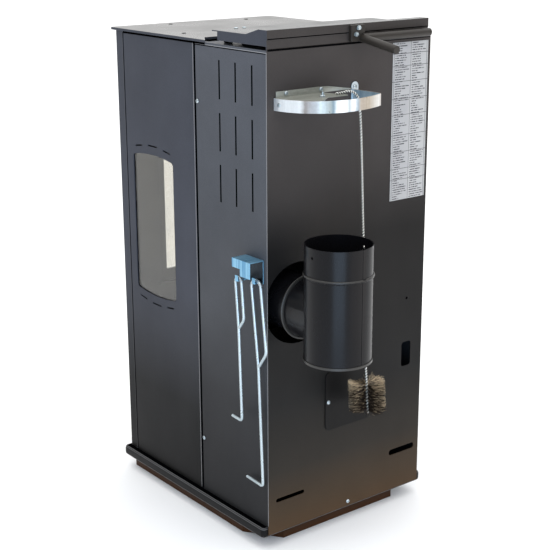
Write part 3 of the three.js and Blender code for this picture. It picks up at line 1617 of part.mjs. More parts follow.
function ringPlate() {
  const meet = THREE.MathUtils.degToRad(ringPlateMeetDegrees);
  const back = rearY + clearance;
  const shape = new THREE.Shape();
  const fit = ringRadius - ringSheet - clearance;
  shape.moveTo(ringCentreX + fit, back);
  shape.absarc(ringCentreX, rearY, fit, clearance / fit, meet, false);
  shape.lineTo(ringPlateInnerX, rearY + ringPlateInner);
  shape.lineTo(ringPlateTipX, rearY + ringPlateTip);
  shape.lineTo(ringPlateLeft, back);
  const z = ringTop - ringSheet;
  const plate = slab(shape, ringSheet, smallSides).translate(0, 0, z);
  const upstand = block(
    ringPlateLeft, ringCentreX + fit - ringSheet, back, back + ringSheet, z, z + ringUpstand);
  const holes = [ringScrewNear, ringScrewFar].map((x) => bar(
    screwShankRadius + clearance, point(x, rearY - overrun, ringScrewZ),
    point(x, rearY + overrun, ringScrewZ), smallSides));
  return carve([plate, upstand], holes);
}
add(casing, 'ring_plate', ringPlate(), galvanised);
rearScrew('ring_tab_screw', ringTabX, rearY + clearance + ringSheet, ringTabScrewZ);
const ringSeat = rearY + clearance + ringSheet;
rearScrew('ring_plate_screw_near', ringScrewNear, ringSeat, ringScrewZ);
rearScrew('ring_plate_screw_far', ringScrewFar, ringSeat, ringScrewZ);

// Tool bracket: a folded box on the right side with two upturned hooks

function toolBracket() {
  const inner = half + clearance;
  const outer = half + bracketReach;
  const t = bracketSheet;
  const low = bracketTop - bracketBackHeight;
  const back = block(inner, inner + t, bracketFront, bracketRear, low, bracketTop);
  const roof = block(inner, outer, bracketFront, bracketRear, bracketTop - t, bracketTop);
  const wing = block(outer - t, outer, bracketFront, bracketRear, bracketTop - bracketWing, bracketTop);
  const stem = block(outer - t, outer, bracketStemFront, bracketRear, bracketTop - bracketStem, bracketTop);
  const hooks = [[longHookY, longHookReach], [shortHookY, shortHookReach]].flatMap(([y, reach]) => [
    block(inner, inner + reach, y - hookWidth / 2, y + hookWidth / 2, low, low + t),
    block(inner + reach - t, inner + reach, y - hookWidth / 2, y + hookWidth / 2, low, low + hookRise),
  ]);
  return carve([back, roof, wing, stem, ...hooks]);
}
add(casing, 'tool_bracket', toolBracket(), galvanised);

// A poker of bent wire: foot, shank, and a closed loop welded back to the shank

function poker(size) {
  const r = toolRadius;
  const { loopHalf, loopLength, loopSlant, loopLean, lean, bottom, foot, hang } = size;
  const joinZ = hang - loopLength;
  const crownZ = hang - r - loopHalf;
  const leanAt = (z) => (z > joinZ ? loopLean * (crownZ - z) / (crownZ - joinZ)
    : loopLean + (lean - loopLean) * (joinZ - z) / (joinZ - bottom));
  const place = (side, z) => point(0, side * loopHalf + leanAt(z), z);
  const heel = place(-1, bottom);
  const shank = bent([
    point(0, heel.y - foot, bottom + foot * footTilt), heel, place(-1, joinZ),
    place(-1, crownZ - 2 * r),
  ], toolBend);
  const crown = [];
  const steps = barSides / 2;
  for (let step = 0; step <= steps; step += 1) {
    const angle = Math.PI * (1 - step / steps);
    crown.push(point(0, loopHalf * Math.cos(angle), crownZ + loopHalf * Math.sin(angle)));
  }
  const side = bent([
    place(1, crownZ - r), place(1, joinZ + loopSlant), place(-1, joinZ).add(point(0, r / 2, 0)),
  ], toolBend);
  return carve([bentBar(shank, r), bentBar([place(-1, crownZ - 3 * r), ...crown, ...side], r)]);
}

// The loop's crown stands above the hook by the height of its arc over the hook's width.
function hangAt(loopHalf) {
  const inner = loopHalf - toolRadius;
  const arcRise = inner - Math.sqrt(inner * inner - hookWidth * hookWidth / 4);
  return bracketTop - bracketBackHeight + bracketSheet + 2 * clearance + 2 * toolRadius + arcRise;
}

const longPoker = new THREE.Group();
longPoker.position.set(half + clearance + bracketSheet + longHookReach / 2 - bracketSheet, longHookY, 0);
casing.add(longPoker);
add(longPoker, 'long_poker', poker({
  loopHalf: longLoopHalf, loopLength: longLoopLength, loopSlant: longLoopSlant,
  loopLean: longLoopLean, lean: longLean, bottom: longBottom, foot: longFoot,
  hang: hangAt(longLoopHalf),
}), zinc);
const shortPoker = new THREE.Group();
shortPoker.position.set(half + clearance + shortHookReach - bracketSheet * 3, shortHookY, 0);
casing.add(shortPoker);
add(shortPoker, 'short_poker', poker({
  loopHalf: shortLoopHalf, loopLength: shortLoopLength, loopSlant: shortLoopSlant,
  loopLean: shortLoopLean, lean: shortLean, bottom: shortBottom, foot: shortFoot,
  hang: hangAt(shortLoopHalf),
}), zinc);

// Flue brush: a wire hooked over the ring plate, and bristles round its lower end

const brush = new THREE.Group();
brush.position.set(flueX - brushOffset, rearY, 0);
casing.add(brush);
const restZ = ringTop + wireRadius + clearance;
const brushTip = point(brushTipX, brushTipOff, brushCoreTop - brushCoreLength);
const brushLow = point(brushLowX, brushLowOff, brushLowZ);
const brushAxis = new THREE.Vector3().subVectors(brushLow, brushTip).normalize();
const coreTop = brushTip.clone().addScaledVector(brushAxis, brushCoreLength);
const wireEnd = coreTop.clone().addScaledVector(brushAxis, clearance);
const wireCurve = new THREE.CatmullRomCurve3([
  point(brushHookX, brushHookOff, restZ), point(brushSeatX, brushHookOff, restZ),
  point(brushCrestX, brushHookOff, restZ + brushCrestRise),
  point(brushShoulderX, brushHookOff, brushShoulderZ),
  point(brushBendX, brushBendOff, brushBendZ), point(brushTopX, brushTopOff, brushTopZ),
  point(brushMidX, brushMidOff, brushMidZ), brushLow, wireEnd,
], false, 'centripetal');
add(brush, 'brush_wire', wire(wireCurve, wireRadius, wireSteps), zinc);

// Strands stand straight out of the core in level rings, each ring turned by half a step.
function strand(angle, z) {
  const out = point(Math.cos(angle), Math.sin(angle), 0);
  const across2 = point(-out.y, out.x, 0);
  const corners = [];
  for (const [reach, width] of [[brushCoreRadius / 2, strandRoot], [brushRadius, strandTip]]) {
    const centre = out.clone().multiplyScalar(reach).setZ(z);
    corners.push(centre.clone().addScaledVector(across2, width / 2));
    corners.push(centre.clone().addScaledVector(across2, -width / 2));
    corners.push(centre.clone().add(point(0, 0, width)));
  }
  return corners.flatMap((corner) => corner.toArray());
}

function bristles() {
  const positions = [];
  const index = [];
  const faces = [[0, 1, 2], [3, 5, 4], [0, 3, 4], [0, 4, 1], [1, 4, 5], [1, 5, 2], [2, 5, 3], [2, 3, 0]];
  for (let level = 0; level < brushRings; level += 1) {
    const z = brushCoreRadius + level * (brushCoreLength - 2 * brushCoreRadius) / (brushRings - 1);
    for (let place = 0; place < brushStrands; place += 1) {
      const angle = ((place + (level % 2) / 2) / brushStrands) * 2 * Math.PI;
      const first = positions.length / 3;
      positions.push(...strand(angle, z));
      index.push(...faces.flat().map((corner) => corner + first));
    }
  }
  const strands = new THREE.BufferGeometry();
  strands.setAttribute('position', new THREE.Float32BufferAttribute(positions, 3));
  strands.setIndex(index);
  const core = bar(brushCoreRadius, point(0, 0, 0), point(0, 0, brushCoreLength), smallSides);
  return carve([core, strands]);
}
const bristleMesh = add(brush, 'brush_bristles', bristles(), brass);
bristleMesh.position.copy(brushTip);
bristleMesh.quaternion.setFromUnitVectors(point(0, 0, 1), brushAxis);

export default stove;
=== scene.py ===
import json
import math
import random

import bmesh
import bpy
from mathutils import Matrix, Vector


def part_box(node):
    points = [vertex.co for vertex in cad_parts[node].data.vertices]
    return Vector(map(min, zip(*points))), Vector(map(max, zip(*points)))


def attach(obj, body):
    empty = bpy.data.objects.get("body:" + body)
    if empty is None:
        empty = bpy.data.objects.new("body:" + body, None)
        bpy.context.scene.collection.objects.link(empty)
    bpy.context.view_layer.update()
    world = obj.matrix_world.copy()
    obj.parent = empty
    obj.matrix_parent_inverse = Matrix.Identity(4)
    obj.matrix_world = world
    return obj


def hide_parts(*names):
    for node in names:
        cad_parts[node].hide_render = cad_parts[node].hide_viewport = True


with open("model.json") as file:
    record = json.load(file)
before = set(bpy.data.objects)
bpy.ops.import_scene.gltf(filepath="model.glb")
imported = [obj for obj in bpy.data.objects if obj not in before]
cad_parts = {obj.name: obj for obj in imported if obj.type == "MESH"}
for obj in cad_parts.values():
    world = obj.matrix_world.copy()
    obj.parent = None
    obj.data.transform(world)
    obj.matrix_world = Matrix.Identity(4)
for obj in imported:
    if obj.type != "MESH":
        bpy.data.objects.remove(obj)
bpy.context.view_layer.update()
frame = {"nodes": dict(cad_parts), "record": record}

MM = 0.001
NODES = frame["nodes"]
BODY_OF = {node: body for body, names in frame["record"]["behaviour"]["bodies"].items() for node in names}
SLOT_OF = {part["node"]: part["material_slot"] for part in frame["record"]["subparts"]}
SEED = 7

# Casing, in millimetres from the floor and the middle of the base
REAR_Y = 257
SIDE_X = 206
SEAM_Y = 30
SHEET_LOW = 53
SHEET_HIGH = 992
LOUVRE_PLACES = [(y, z) for y in (111, 162, 213) for z in (966, 866, 766)]
LOUVRE_LENGTH = 75
LOUVRE_HALF = 2.2
LOUVRE_END = 0.6
LID_REAR_Y = 258.2
LINE_RISE = 0.1

# Flue tee, in millimetres
TEE_X = 134
TEE_Y = 377
TEE_RADIUS = 64
TEE_WALL = 2
TEE_LOW = 433
TEE_HIGH = 653
TEE_LIP = 1.5
TEE_BEAD_Z = 595
TEE_BEAD_HALF = 3.4
TEE_BEAD_RISE = 2.6
TEE_HOLE_Z = 635
TEE_HOLE_RADIUS = 3
BRANCH_Z = 509
BRANCH_START = 272
BRANCH_RADIUS = 59
BRANCH_WALL = 2
COLLAR_START = 13
COLLAR_LENGTH = 5
COLLAR_RISE = 5.8
COLLAR_Y = (286.5, 290.2)
WELD_LIFT = 0.3
WELD_STEPS = 360
# The pipe's long seam: its place round the pipe, its four edges as lift and turn, and its highest crest
PIPE_SEAM_TURN = math.atan2(0.996, -0.084)
PIPE_SEAM_EDGES = ((-0.4, -0.055), (0.55, -0.05), (0.55, 0.05), (-0.4, 0.055))
PIPE_SEAM_CREST = 2.58
PIPE_SIDES = 128
TOOL_REACH = 9

# Half ring, in millimetres
RING_X = 90.5
RING_TOP = 909
RING_HEIGHT = 22.5
RING_SHEET = 2
RING_CHAMFER = 0.35
RING_RADIUS = 99.5
RING_FRONT_RADIUS = 216
RING_END_X = -6
RING_CORNER = 8
RING_GAP = 0.3
FIN_OUTLINE = [(-78, 909.2), (-78, 920.4), (-60, 919.6), (-20, 913.2), (-5, 911.2), (-5, 909.2)]
FIN_THICKNESS = 1.2
TAB_PLACE = (-5, 914)
TAB_RADIUS = 9
TAB_LOW = -36.5

# Screws, bolts and the dark discs of painted shade for the top plate's holes, in millimetres
SCREW_HEAD = 2.4
SCREW_RADIUS = 4.2
SCREW_RIM = 0.5
SHANK_RADIUS = 2
SHANK_LENGTH = 5
RECESS = (2.3, 0.45)
RECESS_FLOOR = 1.1
# Which way each screw's head faces, along X and Y
SCREW_FACINGS = {
    "right_side_screw_low": (1, 0), "right_side_screw_high": (1, 0),
    "left_side_screw_low": (-1, 0), "left_side_screw_high": (-1, 0),
    "cover_screw_right": (0, 1), "cover_screw_left": (0, 1), "rear_bottom_screw": (0, 1),
    "ring_tab_screw": (0, 1), "ring_plate_screw_near": (0, 1), "ring_plate_screw_far": (0, 1),
}
LID_SCREW_PLACES = ((154, 96), (135, 96.5))
LID_SCREW_Z = 1020.05
HOLE_SHADE_PLACES = ((81, -238), (170, -57), (-115, -230))
HOLE_SHADE_PROFILE = [(0, 0), (4.6, 0), (4.4, 0.5), (3.0, 0.7), (0, 0.7)]
HOLE_SHADE_Z = 1000.35

# Lid handle, in millimetres
HANDLE_Z = 1004.7
BRACKET_CORNERS = ((10, 1027.5, 0), (-20, 1027.5, 90), (-20, 1000.5, 180), (10, 1000.5, 270))
BRACKET_CORNER_RADIUS = 2
BRACKET_THICKNESS = 8
BAR_RADIUS = 8

# Flue brush, in millimetres
WIRE_POINTS = (
    (76, 298, 911.8), (62, 298, 911.8), (48, 298, 913.7), (35, 298, 911), (22, 297, 901), (14, 295, 876),
    (9, 305, 636), (1, 311, 362),
)
WIRE_STEP = 0.9
WIRE_OVERLAP = 0.3
# Each twist: the strands' distance from the middle and the length of one turn
WIRE_TWIST = (1.25, 5.6)
CORE_TWIST = (1.3, 6.4)
# The radii of the bright strand and the dark one
WIRE_RADII = (1.25, 0.9)
CORE_RADII = (1.2, 1.2)
CORE_STEP = 0.8
BRUSH_TIP = (1, 319, 266)
BRUSH_LENGTH = 64
BRUSH_RADIUS = 38
TUFT_TURNS = 4.5
TUFT_STRANDS = 3400
TUFT_START = 5
TUFT_MARGIN = 8
STRAND_RADIUS = 0.24
STRAND_ROOT = 1.2
# How widely the strands scatter: in turn, along the core, in reach, in droop and sideways
TURN_SPREAD = 0.14
HEIGHT_SPREAD = 0.4
REACH_SPREAD = 2.0
DROOP_SPREAD = 1.3
SWAY_SPREAD = 1.8
TOP_SHARE = 0.93
TOP_SPREAD = 3.2
# The shares of droop, reach and sway at a strand's two bends
BENDS = ((0.35, 0.45, 0.3), (0.65, 0.76, 0.6))
PARTING = math.radians(49)
PARTING_HALF = math.radians(30)
PARTING_SHARE = 0.2
# Painted light and shade on the bristles: the share of pale pieces from root to tip in the lowest, middle
# and top strands, the rest dark
LIT_SHARES = ((0.02, 0.03, 0.2), (0.02, 0.07, 0.42), (0.25, 0.6, 0.85))
LOWEST_SHARE = 0.14
HIGHEST_SHARE = 0.84

# Studio, in metres and degrees
FLOOR_HALF = 30.0
FLOOR_Z = -0.0005
SKY_LOW = 0.35
SKY_HIGH = 1.75
WALL_FACING = (-0.62, -0.78)
WALL_LIGHT = 0.8
# Each lamp: name, place, target, size, watts, colour
LAMPS = (
    ("overhead", (0.4, 0.6, 4.2), (0.2, 0.3, 0), (4.5, 4.5), 40, (1.0, 1.0, 1.0)),
    ("tall_cool", (1.03, 1.52, 0.52), (0.134, 0.377, 0.52), (1.0, 1.0), 14.5, (0.52, 0.73, 1.0)),
    ("warm_side", (-0.38, 1.35, 0.45), (0.13, 0.377, 0.45), (1.3, 0.8), 2.4, (1.0, 0.86, 0.76)),
)
CAMERA_PLACE = (1.5814, 2.0278, 1.2457)
CAMERA_YAW = 218.195
CAMERA_PITCH = 16.582
CAMERA_ROLL = -0.172
CAMERA_LENS = 81.5


# Small helpers


def linear(code):
    """A display colour such as 0x2f3238 as linear red, green, blue and full alpha."""
    parts = [(code >> shift & 255) / 255 for shift in (16, 8, 0)]
    return [p / 12.92 if p <= 0.04045 else ((p + 0.055) / 1.055) ** 2.4 for p in parts] + [1.0]


def grey(value):
    return [value, value, value, 1.0]


def mm(x, y, z):
    return Vector((x * MM, y * MM, z * MM))


def looking(place, direction):
    """A frame at a place in millimetres whose Z axis points along a direction."""
    turn = Vector(direction).normalized().to_track_quat("Z", "Y").to_matrix().to_4x4()
    return Matrix.Translation(mm(*place)) @ turn


def linked(name, data):
    """A new object in the scene."""
    thing = bpy.data.objects.new(name, data)
    bpy.context.scene.collection.objects.link(thing)
    return thing


# Materials


class Nodes:
    """Shader nodes added to a tree one by one."""

    def __init__(self, tree):
        self.tree = tree

    def feed(self, socket, value):
        """Joins another node's output to an input, or gives the input a plain value."""
        if hasattr(value, "is_linked"):
            self.tree.links.new(value, socket)
        else:
            socket.default_value = value

    def add(self, kind, values=None, **settings):
        node = self.tree.nodes.new(kind)
        for key, value in settings.items():
            setattr(node, key, value)
        for key, value in (values or {}).items():
            self.feed(node.inputs[key], value)
        return node

    def maths(self, operation, a, b=0.0):
        return self.add("ShaderNodeMath", {0: a, 1: b}, operation=operation).outputs[0]

    def span(self, value, low, high, to_low, to_high, **settings):
        values = {"Value": value, "From Min": low, "From Max": high, "To Min": to_low, "To Max": to_high}
        return self.add("ShaderNodeMapRange", values, **settings).outputs["Result"]


class Graph(Nodes):
    """A node material under construction, starting from one Principled shader."""

    def __init__(self, name):
        self.material = bpy.data.materials.new(name)
        self.material.use_nodes = True
        super().__init__(self.material.node_tree)
        self.shader = self.tree.nodes["Principled BSDF"]
        self.place = self.add("ShaderNodeTexCoord").outputs["Object"]

    def set(self, **values):
        for key, value in values.items():
            self.feed(self.shader.inputs[key.replace("_", " ")], value)

    def stretched(self, x, y, z):
        node = self.add("ShaderNodeMapping", {"Vector": self.place, "Scale": (x, y, z)})
        return node.outputs["Vector"]

    def noise(self, scale, detail, roughness=0.5, vector=None):
        node = self.add(
            "ShaderNodeTexNoise",
            {"Vector": vector or self.place, "Scale": scale, "Detail": detail, "Roughness": roughness},
        )
        return node.outputs["Fac"]

    def ramp(self, value, stops):
        node = self.add("ShaderNodeValToRGB", {"Fac": value})
        marks = node.color_ramp.elements
        while len(marks) < len(stops):
            marks.new(0.5)
        for mark, (place, colour) in zip(marks, stops):
            mark.position = place
            mark.color = colour
        return node.outputs["Color"]

    def mix(self, amount, a, b, blend="MIX"):
        node = self.add("ShaderNodeMix", {0: amount, 6: a, 7: b}, data_type="RGBA", blend_type=blend)
        return node.outputs[2]

    def bump(self, height, distance, strength, normal=None):
        values = {"Height": height, "Distance": distance, "Strength": strength}
        if normal:
            values["Normal"] = normal
        return self.add("ShaderNodeBump", values).outputs["Normal"]

    def axis(self, letter):
        return self.add("ShaderNodeSeparateXYZ", {"Vector": self.place}).outputs[letter]


def paint(name, stops, gloss, grain=1.0, edge=0.0, shine=0.15):
    """Powder-coated steel: colour by height, which in the casing's ramps is painted light and shade, soft
    smudges, fine orange-peel grain, and for edges a share of light grey as painted highlight and wear.
    """
    g = Graph(name)
    colour = g.ramp(g.span(g.axis("Z"), 0.0, 1.03, 0.0, 1.0), [(p, linear(c)) for p, c in stops])
    cloud = g.noise(5.5, 4.0, 0.55)
    colour = g.mix(1.0, colour, g.ramp(cloud, [(0.3, grey(0.86)), (0.7, grey(1.12))]), "MULTIPLY")
    speck = g.noise(1400.0, 2.0)
    colour = g.mix(0.35, colour, g.ramp(speck, [(0.35, grey(0.6)), (0.7, grey(1.5))]), "MULTIPLY")
    # Painted highlight and wear on edges: a share of light grey mixed in
    if edge:
        colour = g.mix(edge, colour, linear(0x9A9A9C))
    wiped = g.noise(9.0, 5.0, 0.6, g.stretched(1.0, 1.0, 0.35))
    broad = g.bump(g.noise(160.0, 2.0), 0.0003, 0.05)
    g.set(
        Base_Color=colour,
        Roughness=g.span(wiped, 0.3, 0.7, gloss - 0.05, gloss + 0.07),
        Specular_IOR_Level=shine,
        Normal=g.bump(g.noise(900.0, 2.0), 0.00012, 0.16 * grain, broad),
    )
    return g.material


def metal(name, tone, streak_tone, gloss, streaks=(180.0, 180.0, 4.0), speckle=0.15, plating=1.0):
    """Plated steel: bright, with soft streaks along one direction and small crystals."""
    g = Graph(name)
    streak = g.noise(1.0, 3.0, 0.6, g.stretched(*streaks))
    colour = g.ramp(streak, [(0.32, linear(streak_tone)), (0.62, linear(tone))])
    return plated(g, colour, streak, gloss, speckle, plating)


def plated(g, colour, streak, gloss, speckle, plating):
    """Finishes a zinc-plated surface over a colour."""
    crystals = g.add("ShaderNodeTexVoronoi", {"Vector": g.place, "Scale": 320.0}).outputs["Color"]
    crystals = g.add("ShaderNodeSeparateXYZ", {"Vector": crystals}).outputs["X"]
    colour = g.mix(speckle, colour, crystals, "SOFT_LIGHT")
    g.set(
        Base_Color=colour,
        Metallic=plating,
        Specular_IOR_Level=0.4,
        Roughness=g.span(g.noise(60.0, 4.0), 0.3, 0.7, gloss - 0.03, gloss + 0.08),
        Normal=g.bump(streak, 0.0001, 0.05, g.bump(g.noise(500.0, 2.0), 0.0001, 0.06)),
    )
    return g.material


def strap_with_painted_reflections(name, tones, gloss, plating):
    """Galvanised strap with broad soft tones across its length, which are painted reflections."""
    g = Graph(name)
    low, high = tones[0][0], tones[-1][0]
    wander = g.maths("MULTIPLY", g.noise(70.0, 2.0), 0.004)
    along = g.maths("ADD", g.axis("X"), wander)
    share = g.span(along, low * MM + 0.002, high * MM + 0.002, 0.0, 1.0)
    colour = g.ramp(share, [((x - low) / (high - low), linear(tone)) for x, tone in tones])
    streak = g.noise(1.0, 3.0, 0.6, g.stretched(260.0, 260.0, 3.0))
    colour = g.mix(1.0, colour, g.ramp(streak, [(0.3, grey(0.93)), (0.7, grey(1.05))]), "MULTIPLY")
    return plated(g, colour, streak, gloss, 0.08, plating)


def iron(name, low, high):
    """Cast iron with stove paint: sandy, pitted and dull."""
    g = Graph(name)
    sand = g.noise(420.0, 5.0, 0.65)
    g.set(
        Base_Color=g.ramp(g.noise(24.0, 5.0, 0.6), [(0.3, linear(low)), (0.7, linear(high))]),
        Roughness=g.span(sand, 0.3, 0.7, 0.62, 0.82),
        Metallic=0.1,
        Normal=g.bump(sand, 0.0006, 0.35, g.bump(g.noise(60.0, 3.0), 0.0008, 0.15)),
    )
    return g.material


def board(name):
    """Pressed fire-proof board with faint soot towards the grate."""
    g = Graph(name)
    base = g.ramp(g.noise(14.0, 6.0, 0.6), [(0.3, linear(0xA8987C)), (0.7, linear(0xCBBEA2))])
    soot = g.span(g.axis("Z"), 0.39, 0.72, 0.55, 0.0)
    g.set(
        Base_Color=g.mix(soot, base, linear(0x4B443B)),
        Roughness=0.92,
        Normal=g.bump(g.noise(650.0, 4.0, 0.7), 0.0005, 0.5, g.bump(g.noise(90.0, 4.0), 0.0008, 0.3)),
    )
    return g.material


def braid(name, tone, dark):
    """Woven glass-fibre rope: short diagonal yarns in two directions."""
    g = Graph(name)
    yarns = []
    for lean in (0.7, -0.7):
        place = g.add("ShaderNodeMapping", {"Vector": g.place, "Rotation": (lean, lean, lean)})
        values = {"Vector": place.outputs["Vector"], "Scale": 160.0, "Distortion": 1.5, "Detail": 1.0}
        yarns.append(g.add("ShaderNodeTexWave", values).outputs["Fac"])
    weave = g.mix(0.5, yarns[0], yarns[1], "LIGHTEN")
    g.set(
        Base_Color=g.mix(weave, linear(dark), linear(tone)),
        Roughness=0.95,
        Sheen_Weight=0.2,
        Normal=g.bump(weave, 0.0008, 0.6),
    )
    return g.material


def pane(name, tint, gloss):
    """Heat-proof glass with a faint haze of wiped dust."""
    g = Graph(name)
    haze = g.noise(12.0, 4.0, 0.6)
    g.set(
        Base_Color=g.ramp(haze, [(0.3, linear(tint)), (0.75, linear(0xE8E5DC))]),
        Roughness=g.span(haze, 0.35, 0.75, gloss, gloss + 0.02),
        Transmission_Weight=1.0,
        IOR=1.46,
    )
    return g.material


# The label's ruling in metres: its head, its level rules, its uprights, each column's start with a number
# that sets the column's row lengths apart, and the height of a row
LABEL_HEAD = 0.966
LABEL_RULES = (0.942, 0.912, 0.878, 0.846, 0.806, 0.772, 0.738, 0.716)
LABEL_UPRIGHTS = (-0.1075, -0.1525, -0.1955)
LABEL_COLUMNS = ((-0.110, 0.0), (-0.156, 500.0))
LABEL_ROW = 0.0046


def label_sheet(name):
    """A silvery sheet with ruled boxes and short plain rules in two columns, and no writing."""
    g = Graph(name)
    across, up = g.axis("X"), g.axis("Z")

    def near(value, place, half):
        gap = g.maths("ABSOLUTE", g.maths("SUBTRACT", value, place))
        return g.maths("LESS_THAN", gap, half)

    boxes = near(up, LABEL_HEAD, 0.0006)
    for place in LABEL_RULES:
        boxes = g.maths("MAXIMUM", boxes, near(up, place, 0.0005))
    for place in LABEL_UPRIGHTS:
        boxes = g.maths("MAXIMUM", boxes, near(across, place, 0.0005))

    rows = g.maths("DIVIDE", up, LABEL_ROW)
    row = g.maths("FLOOR", rows)
    inked = g.maths("LESS_THAN", g.maths("FRACT", rows), 0.42)
    lines = 0.0
    for start, apart in LABEL_COLUMNS:
        values = {"W": g.maths("ADD", row, apart)}
        chance = g.add("ShaderNodeTexWhiteNoise", values, noise_dimensions="1D").outputs["Value"]
        length = g.span(chance, 0.0, 1.0, 0.012, 0.040)
        reach = g.maths("SUBTRACT", start, across)
        begun = g.maths("GREATER_THAN", reach, 0.0)
        ruled = g.maths("MULTIPLY", begun, g.maths("LESS_THAN", reach, length))
        lines = g.maths("MAXIMUM", lines, g.maths("MULTIPLY", ruled, inked))
    broken = g.span(g.noise(1.0, 1.0, 0.5, g.stretched(420.0, 1.0, 200.0)), 0.4, 0.5, 0.25, 1.0)
    lines = g.maths("MULTIPLY", lines, broken)
    tone = g.ramp(g.noise(30.0, 3.0), [(0.3, linear(0x9C9C9D)), (0.7, linear(0xA4A4A4))])
    tone = g.mix(g.span(across, -0.154, -0.151, 0.5, 0.0), tone, linear(0xB0B0AF))
    colour = g.mix(lines, g.mix(boxes, tone, linear(0x4E4E50)), linear(0x303034))
    g.set(
        Base_Color=colour,
        Roughness=0.42,
        Specular_IOR_Level=0.3,
        Normal=g.bump(g.noise(700.0, 2.0), 0.0001, 0.1),
    )
    return g.material


# Enamel colours by height, as shares of the stove's 1.03 m. The side, front and rear ramps are painted light
# and shade: darker low down and lighter high up, the side and front ones cooler there, with painted shade
# across the rear's middle round the flue and a painted warm reflection at its foot.
SIDE_LIGHT_AND_SHADE_STOPS = [
    (0.0, 0x161616), (0.1, 0x18181A), (0.28, 0x232427), (0.45, 0x3C3E42), (0.75, 0x44474D), (1.0, 0x4A4D54)]
FRONT_LIGHT_AND_SHADE_STOPS = [
    (0.0, 0x141312), (0.1, 0x0B0B0C), (0.22, 0x101113), (0.35, 0x303238), (0.5, 0x3A3D46), (1.0, 0x3A3D45)]
REAR_LIGHT_AND_SHADE_STOPS = [
    (0.0, 0x4A3521), (0.07, 0x3A2D1F), (0.16, 0x25211C), (0.3, 0x121212), (0.6, 0x141313),
    (0.72, 0x2F2C2B), (0.88, 0x3A3635), (1.0, 0x3B3735)]
BASE_STOPS = [(0.0, 0x3A1F07), (0.026, 0x28190B), (0.03, 0x080809), (1.0, 0x0C0C0E)]
# The strap's painted reflections: tones by their place along X in millimetres
STRAP_REFLECTION_TONES = [
    (-14, 0x80746A), (-6, 0xA89C92), (8, 0xDAD8D4), (42, 0xB0A494), (66, 0xA89E92), (74, 0x98A8B4),
    (84, 0xECF0F2), (95, 0xB0BCC2), (101, 0xF0F4F6), (119, 0xE8F0F4), (126, 0x748A96), (132, 0x98A09E),
    (148, 0xA2A49E), (154, 0x86827E), (168, 0x86807C), (173, 0xD0D4D6), (190, 0xCCD2D6)]

